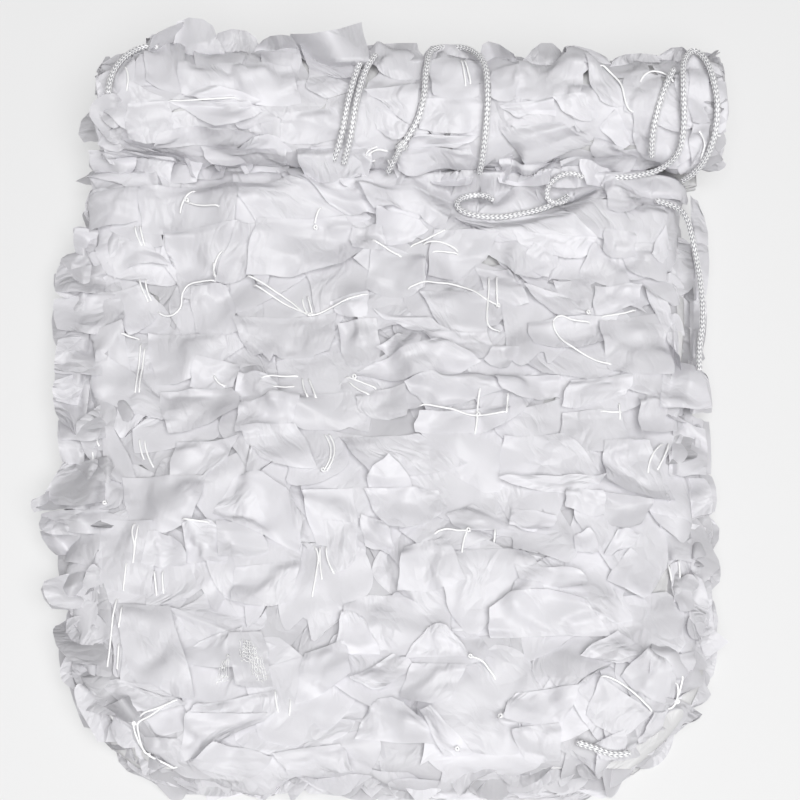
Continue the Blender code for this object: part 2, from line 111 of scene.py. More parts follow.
def distances(points):
    """How far along a line of points each one is."""
    return np.concatenate([[0], np.cumsum(np.linalg.norm(np.diff(points, axis=0), axis=1))])


def between(corners, a, b):
    """Places at shares a down and b across a four-sided patch, its corners round from the upper left."""
    upper_left, upper_right, lower_right, lower_left = corners
    return (1 - a) * ((1 - b) * upper_left + b * upper_right) + a * ((1 - b) * lower_left + b * lower_right)


# A wave's height, its turn in radians for each unit of two coordinates, and its start.
Wave = namedtuple("Wave", "height first second start")


def waves(table, first, second):
    """The sum of a table's waves at two coordinates."""
    return sum(wave.height * np.sin(wave.first * first + wave.second * second + wave.start) for wave in table)


# ---- surfaces that the net lies on

# The loose end's height along it: y, and the share of STRIP_HEIGHT there.
HEIGHT_ALONG = (
    (STRIP_FRONT, 0.60), (-0.238, 0.78), (-0.215, 0.93), (-0.180, 1.00), (0.122, 1.00),
    (0.136, 0.93), (0.147, 0.82), (0.163, 0.54), (STRIP_BACK, 0.285),
)
# Its hollows, between these stretches of y, and the drop towards its two sides, over this stretch of x.
STRIP_WAVES = (Wave(0.0030, 17, 9, 0.6), Wave(0.0022, -11, 23, 2.1))
HOLLOWS_START, HOLLOWS_END = (STRIP_FRONT, -0.16), (0.09, 0.14)
SIDE_DROP, SIDE_STRETCH = 0.0050, (0.13, 0.21)


def strip_top(x, y):
    """Height of the loose end's upper side: a soft crown with shallow hollows."""
    share = np.interp(y, *zip(*HEIGHT_ALONG))
    middle = blend(y, *HOLLOWS_START) * (1 - blend(y, *HOLLOWS_END))
    sides = SIDE_DROP * blend(abs(x), *SIDE_STRETCH)
    return STRIP_HEIGHT * share + middle * (waves(STRIP_WAVES, x, y) - sides)


# The leaves fill the fold before the roll up to FOLD_FACE, between these stretches of y, less at the right.
FOLD_FACE = 0.0520
FILL_START, FILL_END = (0.095, 0.125), (0.170, 0.178)
FILL_LOSS, FILL_LOSS_STRETCH = 0.6, (0.165, 0.185)


def fold_fill(x, y):
    """How far the leaves fill the fold between the loose end and the roll."""
    share = blend(y, *FILL_START) * (1 - blend(y, *FILL_END)) * (1 - FILL_LOSS * blend(x, *FILL_LOSS_STRETCH))
    return share * np.maximum(FOLD_FACE - strip_top(x, y), 0)


def corner_inset(y):
    """How far the strip's sides draw in at y, at its rounded front corners."""
    rise = np.clip(CORNER_RADIUS - (y - STRIP_FRONT), 0, CORNER_RADIUS)
    return CORNER_RADIUS - np.sqrt(CORNER_RADIUS**2 - rise**2)


# Where the roll narrows at each end: over what run, and by what share of its radius.
Shoulder = namedtuple("Shoulder", "edge run loss")
SHOULDERS = (Shoulder(ROLL_LEFT, 0.035, 0.10), Shoulder(ROLL_RIGHT, -0.025, 0.06))

# Around the roll, in degrees from its bottom: where its waves begin and end, where it rests on the strip and
# where its outer turn leaves it.
ROLL_WAVES = (Wave(0.0015, 19, 0.03, 0), Wave(0.0010, -14, 0.055, 0))
ROLL_WAVES_START, ROLL_WAVES_END = (20, 70), (270, 310)
RESTING_ARC, LEAVING_ARC = (0, 60), (225, 352)


def shoulder(x):
    """The roll's radius near its ends, as a share of its radius at the middle."""
    return 1 - sum(end.loss * blend(x, end.edge + end.run, end.edge) for end in SHOULDERS)


def roll_radius(x, angle):
    """Radius of the roll's outer side. Angles run from the bottom by the back, top and front, in degrees."""
    free = blend(angle, *ROLL_WAVES_START) * (1 - blend(angle, *ROLL_WAVES_END))
    resting = 1 - blend(angle, *RESTING_ARC)
    size = ROLL_RADIUS * (shoulder(x) + (1 - shoulder(x)) * resting)
    inset = np.where(angle < 360, blend(angle, *LEAVING_ARC), angle / 360) * BAND_PITCH
    return size + free * waves(ROLL_WAVES, x, angle) - inset * shoulder(x)


def roll_point(x, angle, radius):
    """Points at that angle and radius around the roll's axis."""
    turn = np.radians(angle)
    return np.stack([x, ROLL_CENTRE_Y + radius * np.sin(turn), ROLL_RADIUS - radius * np.cos(turn)], -1)


def above_ground(points, softness=0.0010):
    """points, with those that would sink under the ground eased up to lie on it."""
    points[..., 2] = LOWEST_CLOTH + eased(points[..., 2] - LOWEST_CLOTH, softness)
    return points


# The loose end's rim: the radius of its edge, how far it turns down there, and how far back its front lies.
RIM = 0.020
RIM_TURN = math.radians(78)
FRONT_TUCK = 0.006

# The roll's ends: the radius of their edge, how far it turns in, how much of that radius stands out along the
# roll, and the slope of cloth that is longer than the edge.
END_CURL = 0.012
END_TURN = math.radians(80)
END_BULGE, END_SLOPE = 0.7, 0.8


def strip_place(u, v, height):
    """Points over the loose end at plan places u, v. Past its rim they bend down around its side."""
    inset = CORNER_RADIUS - RIM
    low = np.array([STRIP_LEFT + RIM + inset, STRIP_FRONT + FRONT_TUCK + RIM + inset])
    high = STRIP_RIGHT - RIM - inset
    over = np.stack([np.maximum(u - high, 0) + np.minimum(u - low[0], 0), np.minimum(v - low[1], 0)])
    far = np.hypot(*over)
    away = over / np.maximum(far, 1e-9)
    past = np.maximum(far - inset, 0)
    bend = np.minimum(past / RIM, RIM_TURN)
    hang = np.maximum(past - RIM * RIM_TURN, 0)
    out = RIM * np.sin(bend) + hang * math.cos(RIM_TURN) + height * np.sin(bend)
    x = u - away[0] * (past - out)
    y = v - away[1] * (past - out)
    top = strip_top(u - away[0] * past, v - away[1] * past)
    drop = RIM * (1 - np.cos(bend)) + hang * math.sin(RIM_TURN)
    return above_ground(np.stack([x, y, top - drop + height * np.cos(bend)], -1))


def roll_place(u, v, height):
    """Points over the roll at u along it and v up from its crest towards the back, over its curve."""
    past = np.maximum(u - ROLL_RIGHT, 0) + np.minimum(u - ROLL_LEFT, 0)
    bend = np.minimum(abs(past) / END_CURL, END_TURN)
    x = u - past + np.sign(past) * (END_CURL * np.sin(bend) * END_BULGE + height * np.sin(bend))
    angle = 180 - np.degrees(v / ROLL_RADIUS)
    radius = roll_radius(u - past, angle) - END_CURL * (1 - np.cos(bend))
    radius = radius - np.maximum(abs(past) - END_CURL, 0) * END_SLOPE
    return above_ground(roll_point(x, angle, radius + height * np.cos(bend)))


# ---- the photograph's view

# How far over a surface the leaves that the photograph shows are taken to lie.
SHOWN_HEIGHT = 0.001


def pixel_ray(px, py):
    """Start and directions of the camera's rays through pixels of the photograph."""
    forward = np.array([0, math.cos(CAMERA_ELEVATION), -math.sin(CAMERA_ELEVATION)])
    up = np.array([0, math.sin(CAMERA_ELEVATION), math.cos(CAMERA_ELEVATION)])
    spread = SENSOR / LENS / IMAGE_SIZE
    side = (np.asarray(px, float) - IMAGE_SIZE / 2) * spread
    rise = (IMAGE_SIZE / 2 - np.asarray(py, float)) * spread
    rays = forward + side[..., None] * np.array([1.0, 0, 0]) + rise[..., None] * up
    return np.array(CAMERA_TARGET) - CAMERA_DISTANCE * forward, rays


def level_spot(px, py, height):
    """World points at that height that show at pixels."""
    start, rays = pixel_ray(px, py)
    return start + rays * ((height - start[2]) / rays[..., 2])[..., None]


def strip_spot(px, py):
    """Plan places on the loose end that show at pixels."""
    height = np.full(np.shape(px), STRIP_HEIGHT)
    for _ in range(5):
        x, y = np.moveaxis(level_spot(px, py, height), -1, 0)[:2]
        height = strip_top(x, y) + fold_fill(x, y) + SHOWN_HEIGHT
    return x, y


def roll_spot(px, py):
    """Places on the roll that show at pixels, along it and up from its crest."""
    start, rays = pixel_ray(px, py)
    reach = ROLL_RADIUS + SHOWN_HEIGHT
    y, z = start[1] - ROLL_CENTRE_Y, start[2] - ROLL_RADIUS
    square = rays[..., 1] ** 2 + rays[..., 2] ** 2
    half = (y * rays[..., 1] + z * rays[..., 2]) / square
    inside = np.maximum(half**2 - (y * y + z * z - reach**2) / square, 0)
    points = start + rays * (-half - np.sqrt(inside))[..., None]
    from_top = np.arctan2(points[..., 1] - ROLL_CENTRE_Y, points[..., 2] - ROLL_RADIUS)
    return points[..., 0], from_top * ROLL_RADIUS


# ---- the pile of leaves

# The pile's grid of heights: the size of its cells, the strip's and the roll's corners, and how deep each
# reaches under the solid's own surface.
CELL = 0.0015
STRIP_CORNERS, ROLL_CORNERS = ((-0.29, -0.31), (0.28, 0.20)), ((-0.24, -0.13), (0.26, 0.14))
STRIP_DEPTH, ROLL_DEPTH = 0.0100, 0.0080

# A leaf's distance from what is under it, how often it is smoothed over what it bridges, how soft its landing
# is, how many more cells are looked at around it, and how much finer than its points it is added to the grid.
LEAF_GAP = 0.0004
BRIDGING = 14
LANDING = 0.0004
MARGIN_CELLS = 4
FINER_STEPS = 4

# Within PRESS_REACH of a rope's centre line the pile has PRESS_ROOM over its depth, and more further out.
PRESS_ROOM, PRESS_REACH, PRESS_SLOPE = 0.0004, 0.0034, 0.9
LEAST_HEIGHT = 0.001


def widened(grid):
    """grid with each cell raised to the highest of its neighbours."""
    edge = np.pad(grid, 1, mode="edge")
    rows = np.maximum(np.maximum(edge[:-2], edge[1:-1]), edge[2:])
    return np.maximum(np.maximum(rows[:, :-2], rows[:, 1:-1]), rows[:, 2:])


def smoothed(grid):
    """grid with each cell at the mean of its neighbours."""
    edge = np.pad(grid, 1, mode="edge")
    rows = (edge[:-2] + edge[1:-1] + edge[2:]) / 3
    return (rows[:, :-2] + rows[:, 1:-1] + rows[:, 2:]) / 3


def finer(grid, steps):
    """grid with steps times as many points each way, straight between them."""
    for _ in range(2):
        places = np.linspace(0, len(grid) - 1, (len(grid) - 1) * steps + 1)
        low = np.minimum(places.astype(int), len(grid) - 2)
        share = (places - low)[:, None]
        grid = (grid[low] * (1 - share) + grid[low + 1] * share).T
    return grid


class Pile:
    """Heights of what lies on a surface, on an even grid of its places u, v."""

    def __init__(self, low, high, place, depth):
        self.low, self.place, self.depth = np.array(low), place, depth
        self.size = np.ceil((np.array(high) - self.low) / CELL).astype(int) + 1
        self.heights = np.zeros(self.size)
        self.press = np.ones(self.size)

    def sample(self, grid, u, v, corner=(0, 0)):
        """grid's value at places u, v, straight between its cells."""
        i = np.clip((u - self.low[0]) / CELL - corner[0], 0, grid.shape[0] - 1.001)
        j = np.clip((v - self.low[1]) / CELL - corner[1], 0, grid.shape[1] - 1.001)
        m, n = i.astype(int), j.astype(int)
        i, j = i - m, j - n
        near = grid[m, n] * (1 - j) + grid[m, n + 1] * j
        far = grid[m + 1, n] * (1 - j) + grid[m + 1, n + 1] * j
        return near * (1 - i) + far * i

    def lay(self, u, v, relief):
        """Drapes a sheet with its own relief over what lies there, adds it and returns its heights."""
        first = (np.array([u.min(), v.min()]) - self.low) / CELL - MARGIN_CELLS
        last = (np.array([u.max(), v.max()]) - self.low) / CELL + MARGIN_CELLS
        first = np.maximum(first, 0).astype(int)
        last = np.clip(last.astype(int) + 1, first + 3, self.size)
        below = widened(self.heights[first[0] : last[0], first[1] : last[1]]) + LEAF_GAP
        over = below
        for _ in range(BRIDGING):
            over = np.maximum(smoothed(over), below)
        rest, least = self.sample(over, u, v, first), self.sample(below, u, v, first)
        height = least + eased(rest - least + relief, LANDING)
        self.cover(u, v, height)
        return height

    def cover(self, u, v, height):
        """Raises the grid to a sheet's heights."""
        u, v, height = (finer(grid, FINER_STEPS) for grid in (u, v, height))
        i = np.round((u - self.low[0]) / CELL).astype(int)
        j = np.round((v - self.low[1]) / CELL).astype(int)
        inside = (i >= 0) & (j >= 0) & (i < self.size[0]) & (j < self.size[1])
        np.maximum.at(self.heights, (i[inside], j[inside]), height[inside])

    def cells(self):
        """Places u, v of the grid's rows and columns."""
        u, v = (low + CELL * np.arange(count) for low, count in zip(self.low, self.size))
        return u[:, None], v[None, :]

    def press_under(self, routes):
        """Sets how far the pile is pressed down, so that it stays under the ropes that cross it."""
        u, v = self.cells()
        gap = np.full(self.size, 1.0)
        for route in routes:
            for at_u, at_v in route:
                gap = np.minimum(gap, np.hypot(u - at_u, v - at_v))
        room = self.depth + PRESS_ROOM + PRESS_SLOPE * np.maximum(gap - PRESS_REACH, 0)
        self.press = np.minimum(1.0, room / np.maximum(widened(self.heights), LEAST_HEIGHT))

    def points(self, u, v, height):
        """World points of a sheet in the pressed pile."""
        return self.place(u, v, height * self.sample(self.press, u, v) - self.depth)

    def top(self, u, v):
        """Height of the pressed pile at places u, v."""
        return self.sample(widened(self.heights) * self.press, u, v)


# ---- leaves

KINDS = ("blunt", "pointed", "twin", "notched", "square", "pointed")

# A leaf's folds, the pleats that spread from a point behind its root, and how far its sides cup.
CREASES = 8
CREASE_ROUNDNESS = (0.0002, 0.0007)
PLEAT_HEIGHT, PLEAT_FADE, PLEAT_START, PLEATS = 0.0007, 0.022, 0.012, (5, 9)
CUP = (-0.0010, 0.0018)

# Its outline: how far its tip is off the middle, how narrow its root is, how it ripples and bends to a side.
SKEW, ROOT_SHARE = 0.35, (0.55, 0.85)
RIPPLE, BEND = 0.0016, 0.25

# Its cut edge: the share of a full step that its last one has, how much paler it is painted as a highlight,
# and where it starts.
# CLOTH_SHIFT keeps leaves from sharing their crumples.
EDGE_STEP, EDGE_HIGHLIGHT, ON_EDGE = 0.2, 0.05, 0.999
CLOTH_SHIFT = 3

# How leaves of a row differ: heading in radians, and shares of the row's own width, length, lift and pitch.
HEADINGS = 0.45
WIDTHS, LENGTHS, LIFTS, PITCHES, FIRST_PITCH = (0.75, 1.35), (0.75, 1.25), (-0.3, 1.0), (0.8, 1.2), 0.6

# A leaf laid on the pile: its grid of places, heights over the pile's foot, cloth coordinates and tones.
Leaf = namedtuple("Leaf", "u v height uv tone")


def tip_reach(kind, across, skew):
    """How far a leaf reaches at each place across it, as a share of its length."""
    off = abs(across - skew)
    if kind == "pointed":
        return 1 - 0.50 * off
    if kind == "twin":
        return 1 - 0.30 * off**2 - 0.24 * np.maximum(1 - abs(across + skew) / 0.30, 0)
    if kind == "notched":
        return 0.90 - 0.22 * off + 0.10 * np.clip(2.5 * np.sin(5 * across + 9 * skew), -1, 1)
    if kind == "square":
        return 1 - 0.12 * off - 0.28 * np.maximum(abs(across) - 0.7, 0)
    return 1 - 0.42 * np.maximum(off - 0.25, 0)


def creases(rng, along, across, slope):
    """Soft folds in straight lines, as in cloth that was pressed together."""
    height = np.zeros_like(along)
    for _ in range(CREASES):
        heading = rng.uniform(0, math.pi)
        middle = rng.uniform(0.1, 0.9) * along.max(), rng.uniform(-0.8, 0.8) * across.max()
        distance = (along - middle[0]) * math.cos(heading) + (across - middle[1]) * math.sin(heading)
        roundness = rng.uniform(*CREASE_ROUNDNESS)
        height += rng.uniform(-slope, slope) * (np.sqrt(distance**2 + roundness**2) - roundness)
    return height - height.mean()


def leaf_relief(rng, own, lift, slope):
    """A leaf's own relief: folds, pleats out of its root, and a lifted or tucked tip and sides."""
    a, b, along, across = own
    relief = creases(rng, along, across, slope)
    fan = np.arctan2(across, along + PLEAT_START)
    pleats = PLEAT_HEIGHT * np.sin(rng.uniform(*PLEATS) * fan + rng.uniform(0, 6))
    relief = relief + pleats * np.exp(-along / PLEAT_FADE)
    return relief * blend(a, 0.0, 0.25) + lift * a**1.8 + rng.uniform(*CUP) * abs(b) ** 3 * a


def shares(low, steps):
    """Shares from low to 1 in even steps, with a last narrow one at each free edge."""
    even = np.linspace(low, 1, steps)
    edge = even[-1] - EDGE_STEP * (even[1] - even[0])
    start = [low] if low == 0 else [low, -edge]
    return np.concatenate([start, even[1:-1], [edge, 1.0]])


def edge_highlighted(a, b, tone):
    """A leaf's tone, with a painted highlight along its cut edge."""
    return tone + EDGE_HIGHLIGHT * ((a > ON_EDGE) | (abs(b) > ON_EDGE))


def cloth_places(rng, along, across):
    """A leaf's coordinates on the cloth that it is cut from."""
    return np.stack([across, along], -1) + rng.uniform(0, CLOTH_SHIFT, 2)


def flat_leaf(rng, root, heading, length, width, kind, steps):
    """A leaf's places on its surface, before it is draped, and its own coordinates.

    Those are the share a from its root to its tip, b from side to side, and the lengths along and across it.
    """
    a = shares(0, steps)[:, None] * np.ones((1, steps + 2))
    b = shares(-1, steps)[None, :] * np.ones((steps + 1, 1))
    skew = rng.uniform(-SKEW, SKEW)
    root_share = rng.uniform(*ROOT_SHARE)
    waist = root_share + (1 - root_share) * np.sin(math.pi * np.minimum(a, 1) ** 0.75)
    along = length * a * tip_reach(kind, b, skew)
    across = b * width / 2 * waist
    ripple = RIPPLE * np.sin(7 * a + 5 * b + rng.uniform(0, 6))
    bend = rng.uniform(-BEND, BEND) * along**2 / length
    side = across + bend + ripple
    u = root[0] + along * math.sin(heading) + side * math.cos(heading)
    v = root[1] - along * math.cos(heading) + side * math.sin(heading)
    return u, v, (a, b, along, across)


def draped(rng, pile, u, v, own, lift, slope, tone):
    """A leaf with its own coordinates draped on the pile at places u, v."""
    a, b, along, across = own
    height = pile.lay(u, v, leaf_relief(rng, own, lift, slope))
    return Leaf(u, v, height, cloth_places(rng, along, across), edge_highlighted(a, b, tone))


def leaf_grids(pile, leaves):
    """Grids of world points of leaves in the pressed pile."""
    return [Grid(pile.points(leaf.u, leaf.v, leaf.height), leaf.uv, leaf.tone) for leaf in leaves]


# Rows of leaves from first to last, some of them turned round. On the roll, first and last are how far they
# go from the crest down its front and its back.
LeafRows = namedtuple("LeafRows", "first last pitch row_pitch length width lift slope turned tones")
PLAIN_TONES = (0.90, 0.98)
BASE_ROWS = (
    LeafRows(0.152, 0.176, 0.036, 0.010, 0.040, 0.050, 0.0, 0.06, 0.0, PLAIN_TONES),
    LeafRows(-0.250, 0.150, 0.046, 0.040, 0.070, 0.078, 0.0, 0.04, 0.0, (0.76, 0.84)),
)
LOW_ROWS = LeafRows(-0.248, 0.170, 0.047, 0.031, 0.056, 0.064, 0.0003, 0.11, 0.15, PLAIN_TONES)
ROLL_FRONT_ARC, ROLL_BACK_ARC = (math.radians(angle) * ROLL_RADIUS for angle in (112, 152))
ROLL_ROWS = LeafRows(
    ROLL_FRONT_ARC, ROLL_BACK_ARC, 0.042, 0.026, 0.044, 0.050, 0.0003, 0.13, 0.0, PLAIN_TONES
)
LEAF_STEPS = 20
FLIPPED = (-0.75, 0.75, 1.0)

# On the strip: how much of its corners' inset rows follow, how far they reach past its sides, less before the
# roll, and where leaves turn towards the sides.
CORNER_SHARE = 0.75
BESIDE, BESIDE_LESS, BESIDE_STRETCH = 0.010, 0.030, (0.09, 0.14)
TURN_RIGHT, TURN_LEFT, SIDE_TURN, SIDE_SHORTER = (0.13, 0.20), (-0.14, -0.21), 0.9, 0.25

# Painted shade on leaves near the loose end's rim: how much darker they are painted, over which stretches of
# x or of the distance from the front left corner's centre.
SHADE_LEFT, SHADE_RIGHT, SHADE_CORNER = 0.08, 0.05, 0.17
SHADE_LEFT_STRETCH, SHADE_RIGHT_STRETCH = (-0.165, -0.205), (0.160, 0.195)
SHADE_CORNER_STRETCH, SHADE_CORNER_SIDES = (0.060, 0.100), (-0.11, -0.15)

# On the roll: the first rows' places, how far rows reach past its ends, the least length of a leaf in the
# last rows, and the leaves behind the crest that stand up, painted greyer as shade where the roll curves
# away.
FRONT_START, BACK_START, PAST_ENDS, LEAST_LENGTH = -0.006, 0.004, 0.004, 0.020
LOFTY_STRETCH, LOFT = (0.012, 0.055), 0.0060
CREST_STRETCH, CREST_SHADE = (0.0, 0.030), 0.10


def painted_rim_shade(u, v):
    """A share for a leaf's tone, less near the loose end's rim, as painted shade there."""
    left, right = blend(u, *SHADE_LEFT_STRETCH), blend(u, *SHADE_RIGHT_STRETCH)
    from_corner = np.hypot(u - STRIP_LEFT - CORNER_RADIUS, v - STRIP_FRONT - CORNER_RADIUS)
    at_corner = (u < SHADE_CORNER_SIDES[0]) * (v < SHADE_CORNER_SIDES[1])
    corner = blend(from_corner * at_corner, *SHADE_CORNER_STRETCH)
    return 1 - SHADE_LEFT * float(left) - SHADE_RIGHT * float(right) - SHADE_CORNER * float(corner)


def strip_leaves(rng, pile, rows):
    """Rows of leaves over the loose end, from the front one back, tips mostly towards the front."""
    leaves = []
    v = rows.first
    while v < rows.last:
        inset = float(corner_inset(v)) * CORNER_SHARE
        beside = BESIDE - BESIDE_LESS * float(blend(v, *BESIDE_STRETCH))
        u = STRIP_LEFT + inset - beside + rng.uniform(0, rows.pitch * FIRST_PITCH)
        while u < STRIP_RIGHT - inset + beside:
            edge = float(blend(u, *TURN_RIGHT) - blend(u, *TURN_LEFT))
            heading = rng.normal(0, HEADINGS) + SIDE_TURN * edge
            if rng.random() < rows.turned:
                heading += math.pi * rng.choice(FLIPPED)
            width = rows.width * rng.uniform(*WIDTHS)
            length = rows.length * rng.uniform(*LENGTHS) * (1 - SIDE_SHORTER * abs(edge))
            root = u, v + rng.normal(0, 0.006)
            kind = rng.choice(KINDS)
            lift = rows.lift * rng.uniform(*LIFTS)
            # Leaves near the rim are darkened as painted shade.
            tone = rng.uniform(*rows.tones) * painted_rim_shade(*root)
            places = flat_leaf(rng, root, heading, length, width, kind, LEAF_STEPS)
            leaves.append(draped(rng, pile, *places, lift, rows.slope, tone))
            u += rows.pitch * rng.uniform(*PITCHES)
        v += rows.row_pitch
    return leaves


def roll_leaves(rng, pile, rows):
    """Rows of leaves round the roll: down its front, and from its crest down its back."""
    leaves = []
    places = [(-v, 0) for v in np.arange(FRONT_START, rows.first, rows.row_pitch)[::-1]]
    places += [(v, math.pi) for v in np.arange(BACK_START, rows.last, rows.row_pitch)[::-1]]
    for v, facing in places:
        u = ROLL_LEFT + rng.uniform(-PAST_ENDS, rows.pitch * FIRST_PITCH)
        while u < ROLL_RIGHT + PAST_ENDS:
            heading = facing + rng.normal(0, HEADINGS)
            width = rows.width * rng.uniform(*WIDTHS)
            length = rows.length * rng.uniform(*LENGTHS)
            if facing == 0:
                length = min(length, LEAST_LENGTH + max(rows.first + v, 0.0))
            else:
                length = min(length, LEAST_LENGTH + rows.last - v)
            lift = rows.lift * rng.uniform(*LIFTS)
            if LOFTY_STRETCH[0] < v < LOFTY_STRETCH[1]:
                lift += LOFT * rng.random()
            root = u, v + rng.normal(0, 0.004)
            # Leaves behind the crest are darkened as painted shade.
            tone = rng.uniform(*rows.tones) - CREST_SHADE * float(blend(v, *CREST_STRETCH))
            spots = flat_leaf(rng, root, heading, length, width, rng.choice(KINDS), LEAF_STEPS)
            leaves.append(draped(rng, pile, *spots, lift, rows.slope, tone))
            u += rows.pitch * rng.uniform(*PITCHES)
    return leaves
